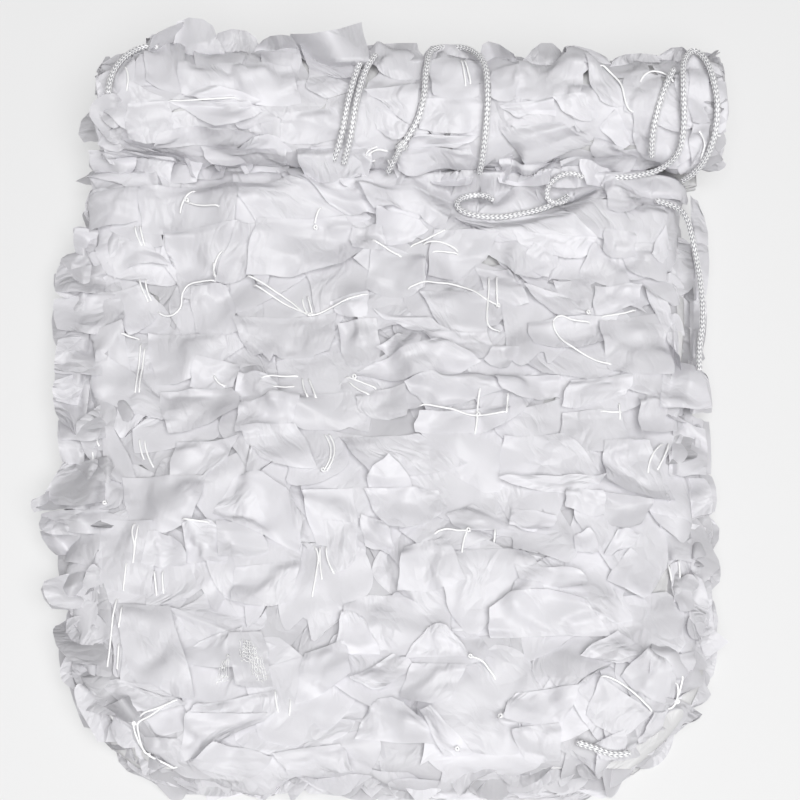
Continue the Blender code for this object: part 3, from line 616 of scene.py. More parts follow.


# ---- flaps set where the photograph shows them, in its pixels

# Corners run round from the root's left end. bulge rounds the free edge, in pixels, and lift raises it, in
# half millimetres. Flaps with a tone over 1 are lighter than most, and those under 0.95 show grey.
Flap = namedtuple("Flap", "root_left root_right tip_right tip_left bulge lift tone")
STRIP_FLAPS = tuple(Flap(*row) for row in (
    # under the roll
    ((128, 186), (150, 188), (162, 243), (110, 226), 4, 1.5, 0.95),
    ((97, 190), (139, 188), (136, 218), (90, 222), 3, 1.0, 0.97),
    ((228, 186), (300, 184), (372, 216), (262, 230), 6, 0.5, 1.00),
    ((140, 186), (240, 186), (234, 230), (142, 229), 3, 0.8, 0.97),
    ((300, 182), (372, 182), (385, 214), (345, 214), 2, 0.3, 1.01),
    ((356, 186), (456, 190), (442, 227), (374, 217), -11, 1.2, 0.99),
    ((560, 196), (668, 200), (662, 236), (590, 232), 3, 0.5, 0.96),
    ((455, 212), (560, 206), (600, 240), (500, 238), 4, 0.6, 1.02),
    # upper third
    ((118, 236), (148, 240), (170, 266), (112, 277), -7, 1.8, 0.97),
    ((405, 240), (375, 240), (378, 218), (428, 224), 6, 0.3, 1.03),
    ((163, 228), (238, 226), (216, 284), (170, 261), 9, 1.0, 0.96),
    ((434, 226), (500, 232), (470, 270), (428, 277), 3, 0.8, 0.97),
    ((238, 228), (262, 226), (246, 276), (214, 284), 2, 0.8, 0.94),
    ((513, 230), (596, 238), (583, 257), (522, 246), 4, 0.9, 1.02),
    ((534, 244), (553, 254), (549, 278), (524, 262), 4, 1.0, 1.00),
    ((594, 244), (622, 254), (629, 284), (580, 272), 3, 1.2, 0.97),
    ((618, 240), (668, 246), (668, 278), (630, 270), 3, 1.0, 0.95),
    ((666, 222), (672, 238), (664, 262), (652, 252), 2, 1.0, 1.03),
    ((258, 222), (345, 216), (370, 247), (246, 275), 13, 2.6, 0.98),
    ((353, 262), (374, 240), (424, 258), (420, 288), 5, 1.2, 0.98),
    ((374, 246), (424, 256), (424, 288), (366, 290), 6, 1.6, 0.95),
    ((476, 262), (508, 270), (530, 300), (492, 300), 3, 0.8, 0.98),
    ((101, 292), (140, 282), (162, 306), (128, 334), 3, 1.2, 0.99),
    ((190, 286), (228, 286), (238, 332), (196, 330), 3, 0.7, 0.99),
    ((330, 300), (368, 292), (366, 316), (338, 312), 3, 1.0, 1.03),
    ((420, 292), (486, 288), (488, 330), (446, 334), 5, 1.0, 1.00),
    ((553, 280), (590, 276), (592, 308), (572, 306), 1, 0.8, 0.97),
    ((596, 284), (642, 282), (636, 304), (595, 312), 1, 0.9, 1.03),
    ((642, 282), (664, 296), (677, 320), (664, 324), 2, 1.4, 1.00),
    ((523, 284), (560, 290), (586, 312), (556, 312), 2, 0.8, 0.99),
    ((528, 318), (620, 312), (606, 340), (534, 342), 4, 0.7, 0.98),
    ((84, 300), (120, 296), (124, 320), (100, 350), 3, 1.0, 0.95),
    ((86, 336), (122, 322), (130, 385), (94, 388), -6, 1.8, 0.96),
    ((146, 330), (226, 334), (219, 360), (156, 382), 6, 1.3, 0.97),
    ((232, 318), (336, 312), (330, 348), (250, 352), 5, 0.8, 0.96),
    ((373, 310), (420, 316), (452, 334), (414, 330), 2, 1.0, 1.01),
    ((338, 322), (376, 318), (380, 356), (346, 362), 4, 0.7, 0.96),
    ((376, 344), (398, 334), (422, 339), (402, 360), 4, 1.6, 1.02),
    ((420, 334), (486, 332), (498, 352), (450, 358), 4, 0.8, 0.97),
    ((498, 342), (520, 346), (508, 366), (484, 360), 3, 1.0, 0.99),
    ((600, 318), (668, 322), (672, 376), (610, 366), 4, 0.8, 0.96),
    ((668, 330), (680, 328), (688, 378), (674, 356), 2, 1.6, 1.01),
    # middle
    ((100, 352), (84, 392), (164, 419), (158, 388), 5, 1.8, 0.97),
    ((196, 356), (240, 362), (232, 384), (190, 386), 3, 0.9, 1.00),
    ((232, 398), (238, 372), (268, 376), (272, 404), 8, 0.4, 1.04),
    ((376, 360), (440, 342), (482, 361), (352, 374), 12, 1.6, 1.00),
    ((272, 396), (372, 388), (366, 418), (284, 420), 9, 2.6, 0.96),
    ((356, 392), (404, 384), (407, 414), (360, 410), 4, 1.4, 0.94),
    ((404, 384), (450, 372), (520, 384), (426, 406), 4, 1.0, 0.97),
    ((494, 376), (560, 372), (558, 392), (502, 392), 4, 1.0, 0.98),
    ((572, 376), (634, 374), (626, 394), (562, 404), 5, 1.5, 1.02),
    ((158, 390), (232, 386), (242, 408), (168, 432), 5, 0.8, 0.97),
    ((242, 404), (300, 396), (290, 424), (236, 436), 3, 0.9, 0.98),
    ((420, 412), (510, 404), (504, 428), (414, 430), 4, 0.8, 1.01),
    ((640, 398), (712, 388), (714, 412), (640, 434), 5, 2.0, 0.97),
    ((564, 410), (620, 408), (628, 446), (562, 442), 6, 1.0, 0.96),
    ((94, 424), (112, 424), (136, 476), (108, 476), 3, 2.0, 0.95),
    ((240, 432), (296, 424), (318, 470), (262, 462), 4, 0.7, 1.00),
    ((176, 440), (240, 440), (206, 474), (168, 478), 3, 0.8, 1.00),
    ((120, 474), (206, 474), (190, 520), (134, 536), 4, 0.8, 0.96),
    ((100, 516), (152, 520), (150, 590), (98, 584), 3, 0.6, 0.97),
    ((660, 660), (696, 650), (690, 700), (650, 700), 3, 0.6, 0.94),
    ((504, 436), (566, 430), (604, 476), (500, 474), 2, 0.9, 1.01),
    ((604, 440), (650, 440), (676, 500), (606, 482), 4, 0.8, 0.98),
    ((340, 436), (420, 432), (468, 462), (372, 474), 4, 0.9, 0.98),
    ((372, 496), (366, 476), (389, 455), (412, 484), 3, 2.2, 1.03),
    ((302, 492), (352, 486), (358, 544), (316, 542), 3, 0.8, 1.01),
    ((364, 486), (438, 486), (448, 506), (384, 524), 10, 2.6, 1.00),
    ((556, 474), (606, 478), (574, 492), (498, 480), 6, 2.6, 1.00),
    ((600, 492), (654, 500), (640, 524), (604, 512), 8, 1.6, 0.94),
    ((568, 488), (604, 492), (604, 514), (566, 506), 3, 1.2, 1.00),
    ((670, 448), (700, 446), (710, 464), (672, 476), 3, 1.6, 0.97),
    # lower middle
    ((446, 512), (474, 500), (510, 524), (462, 530), 3, 0.9, 0.97),
    ((509, 524), (512, 506), (556, 516), (548, 530), 3, 0.9, 1.02),
    ((186, 560), (182, 524), (212, 520), (228, 560), 5, 0.8, 1.02),
    ((218, 556), (216, 520), (250, 524), (268, 552), 5, 0.5, 0.96),
    ((298, 552), (212, 512), (236, 476), (302, 522), 16, 2.8, 1.01),
    ((140, 562), (148, 530), (172, 538), (186, 562), 6, 1.6, 0.99),
    ((360, 512), (384, 520), (394, 546), (366, 544), 3, 1.2, 1.00),
    ((325, 520), (356, 522), (354, 560), (330, 570), 4, 1.4, 0.98),
    ((404, 546), (446, 538), (464, 580), (398, 590), 5, 0.7, 1.00),
    ((520, 580), (514, 566), (580, 572), (584, 590), 4, 0.8, 1.01),
    ((575, 550), (574, 536), (590, 528), (598, 552), 3, 1.2, 1.03),
    ((604, 555), (618, 528), (640, 534), (622, 548), 3, 1.2, 1.01),
    ((632, 546), (662, 566), (645, 597), (608, 577), 1, 1.8, 0.99),
    ((672, 560), (684, 556), (704, 600), (680, 610), 4, 1.6, 0.98),
    ((236, 566), (300, 560), (290, 600), (232, 602), 4, 0.7, 0.98),
    # lower third: many free edges face back towards the roll
    ((462, 652), (350, 654), (344, 604), (424, 606), 15, 2.4, 1.00),
    ((380, 652), (336, 654), (342, 612), (362, 616), 3, 1.6, 1.02),
    ((472, 656), (404, 656), (428, 628), (446, 626), 3, 1.8, 1.02),
    ((612, 634), (490, 636), (490, 608), (584, 602), 15, 2.0, 0.99),
    ((168, 604), (276, 644), (236, 662), (196, 640), -4, 1.6, 0.99),
    ((200, 640), (242, 626), (240, 668), (168, 658), 3, 1.2, 0.97),
    ((112, 600), (168, 604), (196, 700), (132, 680), 5, 1.0, 0.96),
    ((228, 634), (262, 630), (272, 686), (236, 684), 2, 0.4, 0.93),
    # The next four, at the front corners, have low tones as painted shade where the loose end turns down.
    ((628, 690), (664, 652), (682, 706), (652, 736), 3, 0.5, 0.92),
    ((598, 706), (636, 694), (660, 742), (618, 766), 3, 0.5, 0.90),
    ((100, 700), (128, 692), (158, 744), (124, 752), 3, 0.5, 0.90),
    ((140, 738), (176, 736), (186, 772), (150, 776), 3, 0.5, 0.92),
    # greyer ones before the roll
    ((352, 226), (382, 228), (386, 250), (352, 248), 3, 0.6, 0.97),
    ((606, 226), (636, 228), (634, 254), (604, 252), 3, 0.6, 0.96),
    ((606, 180), (642, 180), (640, 206), (610, 208), 3, 0.4, 0.95),
    # lower third again
    ((304, 652), (344, 640), (350, 676), (296, 704), 2, 1.4, 1.02),
    ((350, 680), (392, 652), (412, 660), (380, 690), 3, 1.8, 0.99),
    ((412, 662), (466, 664), (448, 700), (400, 698), 4, 0.7, 0.98),
    ((611, 664), (580, 654), (619, 629), (648, 655), 2, 1.4, 1.00),
    ((652, 648), (670, 668), (668, 704), (620, 676), 5, 0.8, 0.95),
    ((150, 684), (188, 704), (136, 712), (92, 678), 3, 1.4, 0.97),
    ((198, 704), (276, 690), (278, 712), (186, 716), 6, 0.8, 0.99),
    ((186, 714), (277, 712), (210, 746), (178, 766), 3, 1.6, 0.98),
    ((188, 764), (214, 744), (272, 756), (250, 784), 3, 1.2, 0.96),
    ((440, 744), (354, 738), (370, 706), (404, 704), 7, 1.8, 1.00),
    ((420, 712), (430, 706), (474, 752), (444, 756), 2, 2.0, 1.03),
    ((516, 690), (580, 686), (562, 724), (502, 717), 3, 1.2, 1.00),
    ((601, 678), (652, 712), (624, 736), (586, 716), 4, 1.4, 0.97),
    ((654, 712), (674, 712), (652, 756), (642, 742), 2, 1.6, 0.98),
    ((592, 744), (624, 730), (628, 756), (602, 760), 3, 1.0, 0.96),
    ((272, 754), (340, 742), (352, 770), (310, 784), 4, 0.9, 0.97),
    ((512, 728), (560, 722), (560, 764), (528, 764), 4, 1.0, 0.97),
))
ROLL_FLAPS = tuple(Flap(*row) for row in (
    ((106, 76), (120, 48), (136, 62), (126, 110), 3, 1.0, 0.97),
    ((176, 34), (240, 36), (248, 58), (182, 62), 3, 0.6, 0.97),
    ((146, 44), (182, 32), (184, 90), (146, 78), 2, 1.4, 0.99),
    ((98, 104), (128, 80), (168, 98), (126, 130), 4, 1.0, 0.97),
    ((196, 40), (246, 56), (226, 76), (196, 72), 3, 0.9, 1.00),
    ((262, 50), (300, 52), (292, 82), (262, 84), 4, 0.8, 0.98),
    ((236, 64), (290, 60), (300, 100), (250, 102), 4, 0.6, 1.02),
    ((178, 64), (240, 62), (263, 99), (181, 90), 3, 1.2, 1.00),
    ((182, 92), (206, 84), (262, 99), (232, 104), 3, 1.0, 1.04),
    ((168, 98), (247, 102), (262, 110), (215, 126), 5, 1.4, 1.01),
    ((126, 102), (168, 98), (172, 138), (128, 140), 4, 0.8, 0.98),
    ((255, 148), (152, 152), (161, 132), (258, 134), 6, 0.7, 0.96),
    ((292, 154), (233, 156), (248, 140), (276, 138), 4, 1.4, 1.02),
    ((284, 112), (336, 104), (340, 142), (280, 142), 4, 0.6, 0.99),
    ((100, 140), (150, 150), (190, 166), (106, 168), 3, 0.8, 0.97),
    ((94, 160), (170, 162), (196, 178), (130, 178), 3, 1.2, 0.98),
    ((200, 150), (286, 150), (284, 174), (210, 168), 4, 0.9, 0.97),
    ((296, 46), (350, 44), (360, 70), (331, 68), 3, 1.0, 0.96),
    ((366, 50), (422, 48), (420, 72), (380, 66), 3, 0.8, 0.97),
    ((364, 84), (420, 78), (412, 126), (382, 98), 3, 1.4, 1.01),
    ((376, 104), (410, 126), (400, 140), (376, 130), 3, 1.0, 1.01),
    ((430, 56), (480, 56), (478, 92), (434, 92), 3, 0.6, 0.99),
    ((424, 96), (482, 94), (480, 132), (420, 130), 3, 0.6, 1.00),
    ((416, 134), (480, 138), (456, 148), (405, 152), 4, 1.2, 1.02),
    ((396, 150), (470, 150), (482, 172), (398, 170), 4, 0.9, 0.99),
    ((310, 148), (370, 150), (366, 176), (318, 174), 3, 0.9, 0.97),
    ((520, 62), (584, 60), (580, 94), (516, 96), 3, 0.5, 0.97),
    ((492, 64), (520, 66), (514, 98), (492, 96), 3, 0.8, 0.99),
    ((584, 62), (610, 66), (626, 104), (600, 100), 3, 1.0, 0.98),
    ((500, 104), (552, 96), (556, 116), (520, 118), -4, 1.2, 1.02),
    ((552, 96), (584, 94), (600, 116), (572, 118), 5, 1.4, 1.01),
    ((500, 128), (560, 122), (594, 151), (524, 164), 5, 1.6, 0.96),
    ((600, 128), (616, 108), (634, 146), (622, 151), 3, 2.0, 1.01),
    ((596, 140), (624, 150), (618, 176), (592, 164), 3, 1.2, 0.99),
    ((624, 74), (662, 72), (656, 112), (626, 110), 3, 0.8, 0.97),
    ((634, 112), (654, 110), (658, 164), (638, 160), 3, 0.8, 0.97),
    ((690, 66), (708, 62), (712, 122), (692, 122), 2, 1.0, 0.96),
    ((692, 124), (712, 124), (704, 168), (692, 170), 2, 1.0, 0.98),
    ((500, 164), (560, 166), (556, 180), (506, 180), 3, 1.2, 0.98),
    ((560, 166), (640, 166), (626, 188), (566, 182), 3, 1.2, 0.97),
))

# Flaps that stand free of the pile, with the heights of their roots and tips in millimetres. A root height of
# 0 stands for a root ROOT_COVER under the top of the pile on the loose end.
# Their low tones are painted shade, where they curve or hang away from the light.
FreeFlap = namedtuple("FreeFlap", "root_left root_right tip_right tip_left bulge root_height tip_height tone")
FREE_FLAPS = tuple(FreeFlap(*row) for row in (
    # over the roll's crest
    ((172, 60), (226, 60), (212, 26), (178, 22), 6, 78, 92, 0.92),
    ((146, 64), (186, 62), (183, 22), (152, 38), 2, 76, 90, 0.94),
    ((208, 62), (264, 62), (256, 38), (218, 33), 6, 76, 88, 0.9),
    ((250, 64), (300, 64), (292, 36), (262, 40), 3, 76, 90, 0.91),
    ((284, 70), (370, 70), (361, 22), (291, 34), -3, 80, 97, 0.97),
    ((360, 66), (424, 66), (416, 43), (364, 46), 1, 76, 84, 0.88),
    ((420, 68), (482, 68), (474, 49), (430, 46), 3, 76, 84, 0.89),
    ((478, 72), (522, 72), (514, 54), (482, 45), 6, 78, 90, 0.9),
    ((516, 72), (574, 72), (560, 50), (532, 50), 7, 76, 86, 0.91),
    ((556, 72), (618, 72), (604, 56), (566, 46), 3, 76, 86, 0.92),
    ((606, 74), (666, 74), (656, 55), (616, 58), 3, 76, 84, 0.9),
    ((644, 74), (698, 74), (688, 52), (662, 54), 6, 76, 86, 0.9),
    # the roll's left end
    ((102, 112), (106, 138), (84, 142), (92, 110), 8, 52, 46, 0.93),
    ((112, 62), (100, 96), (95, 92), (106, 56), 3, 62, 58, 0.90),
    ((104, 150), (112, 172), (92, 170), (92, 154), 3, 44, 38, 0.92),
    # from the strip's top over its left side
    ((122, 232), (112, 264), (76, 252), (75, 229), 2, 0, 34, 0.96),
    ((110, 258), (104, 292), (55, 290), (62, 262), 3, 0, 31, 0.94),
    ((116, 292), (104, 334), (57, 328), (54, 300), 2, 0, 31, 0.97),
    ((110, 334), (106, 374), (54, 372), (58, 340), 1, 0, 29, 0.95),
    ((112, 370), (104, 404), (57, 402), (54, 380), 3, 0, 31, 0.96),
    ((114, 402), (108, 438), (61, 440), (60, 410), 1, 0, 30, 0.94),
    ((114, 438), (106, 502), (38, 505), (64, 462), 0, 0, 32, 0.93),
    ((110, 506), (104, 532), (46, 532), (41, 514), 2, 0, 32, 0.95),
    ((112, 568), (106, 608), (50, 606), (44, 580), 3, 0, 28, 0.95),
    ((110, 610), (112, 652), (66, 654), (67, 620), 1, 0, 25, 0.93),
    ((114, 654), (124, 702), (80, 706), (68, 668), 1, 0, 20, 0.88),
    ((130, 696), (160, 742), (112, 750), (88, 716), 2, 0, 14, 0.87),
    # over its right side
    ((664, 358), (660, 406), (712, 408), (702, 370), 1, 0, 33, 0.97),
    ((674, 420), (670, 474), (706, 474), (705, 430), 2, 0, 28, 0.97),
    ((662, 476), (672, 522), (712, 512), (706, 480), 3, 0, 28, 0.96),
    ((658, 520), (666, 558), (706, 562), (708, 528), 2, 0, 26, 0.97),
    ((680, 564), (668, 632), (713, 632), (702, 580), 2, 0, 28, 0.96),
    ((652, 640), (648, 690), (694, 688), (700, 650), 3, 0, 24, 0.96),
    ((638, 690), (624, 736), (676, 734), (692, 706), 1, 0, 20, 0.89),
    # over the lower ends of the tie strands
    ((296, 148), (372, 148), (368, 178), (306, 179), 4, 72, 60.5, 0.98),
    # down the strip's left side
    ((106, 186), (100, 222), (88, 222), (90, 190), 4, 32, 30, 0.93),
    ((98, 228), (96, 252), (75, 248), (73, 228), 0, 34, 32, 0.93),
    ((90, 248), (92, 270), (62, 268), (66, 256), 4, 30, 28, 0.91),
    ((92, 266), (88, 296), (60, 296), (54, 274), 3, 32, 30, 0.92),
    ((92, 290), (88, 350), (58, 350), (54, 304), 4, 32, 22, 0.93),
    ((88, 350), (84, 400), (56, 392), (58, 352), 2, 30, 24, 0.94),
    ((90, 384), (84, 440), (60, 420), (54, 392), 3, 32, 30, 0.95),
    ((86, 420), (84, 464), (62, 462), (58, 420), 2, 30, 26, 0.94),
    ((98, 460), (96, 508), (36, 508), (62, 466), 0, 34, 30, 0.91),
    ((70, 484), (72, 504), (34, 512), (32, 500), 2, 30, 28, 0.90),
    ((98, 508), (92, 536), (44, 532), (42, 516), 4, 34, 30, 0.93),
    ((90, 532), (84, 556), (56, 554), (40, 532), 3, 26, 22, 0.93),
    ((90, 552), (88, 582), (62, 580), (58, 556), 2, 18, 16, 0.88),
    ((96, 570), (94, 612), (52, 608), (44, 584), 5, 30, 26, 0.93),
    ((92, 622), (92, 690), (68, 684), (68, 632), 1, 24, 14, 0.90),
    ((100, 680), (112, 726), (84, 728), (68, 682), 1, 22, 10, 0.88),
    ((116, 716), (136, 760), (124, 756), (98, 730), 3, 20, 10, 0.92),
    # down its right side
    ((690, 196), (692, 244), (708, 246), (700, 206), 3, 28, 28, 0.92),
    ((690, 244), (694, 300), (706, 296), (708, 246), 2, 28, 26, 0.93),
    ((690, 300), (690, 360), (703, 352), (706, 300), 2, 28, 24, 0.93),
    ((688, 360), (690, 412), (712, 412), (708, 378), 2, 30, 28, 0.94),
    ((692, 420), (690, 476), (711, 474), (709, 422), 1, 24, 18, 0.94),
    ((690, 470), (690, 520), (715, 512), (712, 476), 3, 28, 22, 0.93),
    ((690, 510), (688, 560), (712, 552), (714, 520), 6, 24, 18, 0.92),
    ((686, 560), (684, 612), (706, 606), (705, 566), 2, 24, 20, 0.93),
    ((680, 590), (684, 634), (716, 636), (706, 592), 6, 28, 24, 0.93),
    ((672, 640), (670, 690), (698, 676), (703, 646), 4, 24, 16, 0.93),
    ((660, 700), (652, 744), (676, 734), (699, 716), 0, 22, 20, 0.90),
    ((640, 730), (628, 770), (650, 760), (666, 742), 3, 16, 10, 0.90),
))

# Where the leaf tips at the roll's foot end: their left and right sides and how far down, in pixels.
FootTip = namedtuple("FootTip", "left right tip")
FOOT_TIPS = tuple(FootTip(*row) for row in (
    (96, 130, 178), (124, 168, 183), (160, 196, 182), (192, 222, 178), (218, 250, 172), (246, 284, 179),
    (280, 318, 181), (312, 344, 177), (340, 356, 185), (352, 374, 194), (372, 402, 184), (398, 438, 183),
    (432, 470, 185), (466, 506, 182), (500, 548, 184), (544, 590, 186), (586, 614, 186),
))
# Their roots: how much wider than the tips and at which row of pixels, and the heights of roots and tips.
FOOT_ROOT_WIDER, FOOT_ROOT_ROW = 8, 150
FOOT_ROOT_HEIGHT, FOOT_TIP_HEIGHT = 50, 46.5

# Strings of the net that show, as points along each in pixels, and the knots on the strip.
NET_STRINGS = (
    ((134, 222), (136, 232), (141, 243)), ((139, 222), (141, 232), (144, 243)),
    ((139, 276), (141, 285), (147, 297)), ((145, 276), (146, 286), (150, 296)),
    ((156, 306), (163, 311), (172, 311), (180, 304), (182, 292), (188, 284), (200, 282), (216, 283)),
    ((121, 334), (128, 336), (138, 336)), ((140, 340), (139, 352), (137, 372), (135, 393)),
    ((144, 344), (142, 360), (140, 376), (139, 393)), ((214, 276), (216, 264), (223, 252)),
    ((214, 262), (214, 270), (216, 280)), ((188, 203), (200, 208), (220, 212)),
    ((180, 212), (186, 198), (196, 190)),
    ((248, 276), (268, 286), (290, 298), (309, 312), (330, 307), (350, 301), (367, 296)),
    ((254, 284), (272, 294), (290, 303), (308, 311)), ((302, 294), (304, 304), (309, 312)),
    ((307, 293), (310, 303), (312, 311)), ((315, 222), (318, 213), (322, 208)),
    ((372, 241), (386, 249), (402, 256)),
    ((408, 289), (430, 283), (452, 281), (470, 286), (486, 297), (500, 303)),
    ((489, 274), (489, 288), (488, 302), (487, 318), (490, 326), (500, 327)),
    ((497, 274), (497, 290), (498, 303)), ((410, 243), (425, 236), (440, 230), (446, 226)),
    ((424, 240), (440, 240), (458, 248)), ((432, 251), (445, 250), (458, 250)),
    ((554, 318), (562, 315), (573, 319), (590, 320)),
    ((554, 318), (556, 328), (566, 340), (584, 350), (600, 358), (613, 361)),
    ((602, 314), (620, 312), (636, 308)), ((346, 375), (360, 380), (376, 386)),
    ((348, 379), (358, 388), (370, 394)), ((213, 372), (218, 380), (225, 383)),
    ((262, 380), (280, 376), (298, 373)), ((272, 390), (284, 388), (294, 384)),
    ((302, 376), (304, 388), (308, 398)), ((308, 376), (312, 386), (316, 398)),
    ((420, 407), (436, 406), (452, 408), (470, 414), (490, 416), (506, 414)),
    ((480, 389), (478, 404), (477, 420), (475, 432)), ((508, 395), (507, 406), (506, 416)),
    ((619, 402), (620, 412), (620, 420)), ((600, 410), (612, 412), (622, 411)),
    ((324, 432), (330, 444), (330, 458), (323, 472)), ((328, 431), (334, 444), (333, 458), (326, 472)),
    ((138, 434), (139, 444), (142, 454)), ((143, 436), (146, 450), (152, 462)),
    ((89, 417), (89, 428), (90, 441)), ((75, 434), (78, 446), (74, 460)),
    ((670, 440), (666, 452), (658, 468)), ((664, 440), (655, 450), (650, 462), (649, 472)),
    ((183, 520), (196, 522), (209, 522)), ((134, 522), (132, 532), (134, 545), (132, 562)),
    ((138, 524), (136, 536), (134, 550)), ((126, 560), (124, 574), (122, 588)),
    ((153, 568), (154, 578), (155, 592)), ((161, 567), (161, 578), (162, 590)),
    ((314, 544), (318, 556), (316, 574), (312, 596)), ((320, 545), (320, 560), (322, 580)),
    ((326, 545), (328, 560), (334, 572)), ((434, 533), (446, 528), (458, 530), (468, 530)),
    ((468, 529), (464, 540), (462, 552)), ((495, 527), (495, 534), (494, 541)),
    ((116, 596), (112, 616), (109, 640), (105, 664)), ((121, 606), (120, 616), (118, 626)),
    ((118, 642), (117, 654), (116, 668)), ((670, 560), (672, 568), (674, 576)),
    ((681, 556), (682, 566), (683, 577)), ((275, 690), (276, 700), (278, 712)),
    ((290, 698), (290, 706), (289, 716)),
    ((178, 700), (158, 708), (143, 713), (131, 722), (131, 742), (139, 760), (156, 770), (170, 782)),
    ((169, 702), (152, 714), (136, 722), (136, 744), (144, 760)),
    ((470, 656), (482, 660), (490, 668), (496, 676)), ((601, 677), (616, 681), (632, 692), (652, 711)),
    ((676, 682), (680, 692), (683, 702)), ((684, 673), (684, 688), (683, 702), (677, 711)),
)
ROLL_STRINGS = (
    ((377, 152), (370, 153), (366, 159), (368, 166), (375, 169)),
    ((600, 66), (612, 72), (621, 82), (625, 96), (628, 106), (634, 112)),
    ((641, 79), (650, 71), (662, 70), (674, 78)), ((368, 166), (370, 158), (378, 154), (388, 157)),
    ((388, 168), (390, 176), (386, 180)), ((124, 66), (128, 76), (126, 88)),
    ((168, 98), (190, 99), (214, 98), (236, 97)), ((700, 132), (706, 148), (702, 164), (710, 166)),
    ((714, 138), (718, 140), (724, 143)), ((461, 58), (464, 68), (466, 80)),
    ((464, 56), (468, 66), (471, 78)),
)
NET_KNOTS = (
    (309, 312), (323, 471), (470, 656), (500, 716), (457, 748), (131, 723), (187, 202), (315, 226),
    (498, 303), (478, 414), (468, 530), (354, 376), (588, 312), (103, 500), (683, 702),
)

# Flaps: grid steps, slopes of their folds, and how their tones turn into the cloth's: contrast and a
# darkening, painted shade on the free flaps.
FLAP_STEPS, FREE_STEPS = 23, 18
FLAP_SLOPE, FREE_SLOPE = 0.20, 0.55
FLAP_CONTRAST, FLAP_SHADE = 1.5, 0.54
FREE_CONTRAST, FREE_PAINTED_SHADE = 2, 1.02
LIFT_SIZE = 0.0005
MILLIMETRE = 0.001
ROOT_COVER = 0.0020
# How far off the middle a free edge's peak can be, how steep the edge is there, and how sides bow and waver.
PEAK_OFF, PEAK_STEEPNESS = 0.28, 1.7
SIDE_BOW, SIDE_WAVER = 1.5, 0.8


def flap_pixels(flap, steps):
    """Pixels of a flap's grid, from its root to its rounded free edge, and its own shares a and b."""
    a = shares(0, steps)[:, None]
    b = 0.5 + 0.5 * shares(-1, steps)[None, :]
    corners = np.array(flap[:4], float)
    root_left, root_right, tip_right, tip_left = corners
    ahead = unit(((tip_left + tip_right) - (root_left + root_right)) / 2)
    across = np.array([ahead[1], -ahead[0]])
    if across.dot(root_right - root_left) < 0:
        across = -across
    peak = PEAK_OFF * math.sin(1.7 * root_left[0] + root_left[1])
    beside = 1 - abs(2 * b - 1 - peak * (1 - abs(2 * b - 1)))
    rounding = a**1.5 * np.minimum(1.0, PEAK_STEEPNESS * beside) * flap.bulge
    bow = 4 * a * (1 - a) * (2 * b - 1) * SIDE_BOW
    waver = SIDE_WAVER * np.sin(9 * a + 3 * b + root_left[0])
    pixels = between(corners, a[..., None], b[..., None])
    pixels = pixels + rounding[..., None] * ahead + (bow + waver)[..., None] * across
    return pixels[..., 0], pixels[..., 1], a * np.ones_like(b), 2 * b * np.ones_like(a) - 1


def flap_lengths(flap, a, b):
    """Lengths along and across a flap at its shares a and b."""
    corners = np.array(flap[:4], float)
    reach = float(np.linalg.norm(corners[2:].mean(0) - corners[:2].mean(0))) + abs(flap.bulge)
    width = float(np.linalg.norm(corners[1] - corners[0]) + np.linalg.norm(corners[2] - corners[3])) / 2
    return a * (PIXEL_SIZE * reach), b * (PIXEL_SIZE * width) / 2


def set_flap(rng, pile, spot, flap):
    """A flap draped on the pile at its pixels."""
    px, py, a, b = flap_pixels(flap, FLAP_STEPS)
    own = a, b, *flap_lengths(flap, a, b)
    tone = FLAP_CONTRAST * flap.tone - FLAP_SHADE
    return draped(rng, pile, *spot(px, py), own, flap.lift * LIFT_SIZE, FLAP_SLOPE, tone)


def free_flap(rng, flap, pile):
    """A flap that stands free, on the sheet of the camera's rays through its pixels."""
    px, py, a, b = flap_pixels(flap, FREE_STEPS)
    root_height = MILLIMETRE * flap.root_height
    if not flap.root_height:
        u, v = strip_spot(px[:1], py[:1])
        root_height = pile.place(u, v, pile.top(u, v) - pile.depth)[..., 2] - ROOT_COVER
    along, across = flap_lengths(flap, a, b)
    relief = leaf_relief(rng, (a, b, along, across), 0.0, FREE_SLOPE)
    height = root_height + (MILLIMETRE * flap.tip_height - root_height) * a**1.4 + relief
    points = above_ground(level_spot(px, py, height))
    # Free flaps stand at the crest, the roll's ends and the strip's sides, and are darkened there as painted
    # shade.
    tone = FREE_CONTRAST * flap.tone - FREE_PAINTED_SHADE
    return Grid(points, cloth_places(rng, along, across), edge_highlighted(a, b, tone))


def tucked_flaps(rng):
    """Leaf tips that hang from the roll's foot onto the loose end."""
    flaps = []
    for left, right, tip in FOOT_TIPS:
        root_left, root_right = left - FOOT_ROOT_WIDER, right + FOOT_ROOT_WIDER
        corners = (root_left, FOOT_ROOT_ROW), (root_right, FOOT_ROOT_ROW), (right, tip), (left, tip - 1.5)
        bulge, tone = rng.uniform(1, 3), rng.uniform(0.97, 1.01)
        flaps.append(FreeFlap(*corners, bulge, FOOT_ROOT_HEIGHT, FOOT_TIP_HEIGHT, tone))
    return [free_flap(rng, flap, None) for flap in flaps]


# ---- strings, knots and patches of fine mesh

# A string's step and sides, how it is smoothed (passes, width in steps, the most that it sinks in each), and
# how deep and over what length its ends tuck in.
STRING_STEP, STRING_SIDES = 0.0012, 8
SMOOTHING_PASSES, SMOOTHING_WIDTH, SMOOTHING_SINK = 6, 5, 0.0004
TUCK_DEPTH, TUCK_LENGTH = 0.0022, 0.0030

# A knot: radius and drift of its turns, its thread's radius, height over the pile, rise and fall, points.
KNOT_RADIUS, KNOT_DRIFT, KNOT_THREAD = 0.0011, 0.0002, 0.00055
KNOT_HEIGHT, KNOT_RISE, KNOT_POINTS = 0.0012, 0.0006, 22

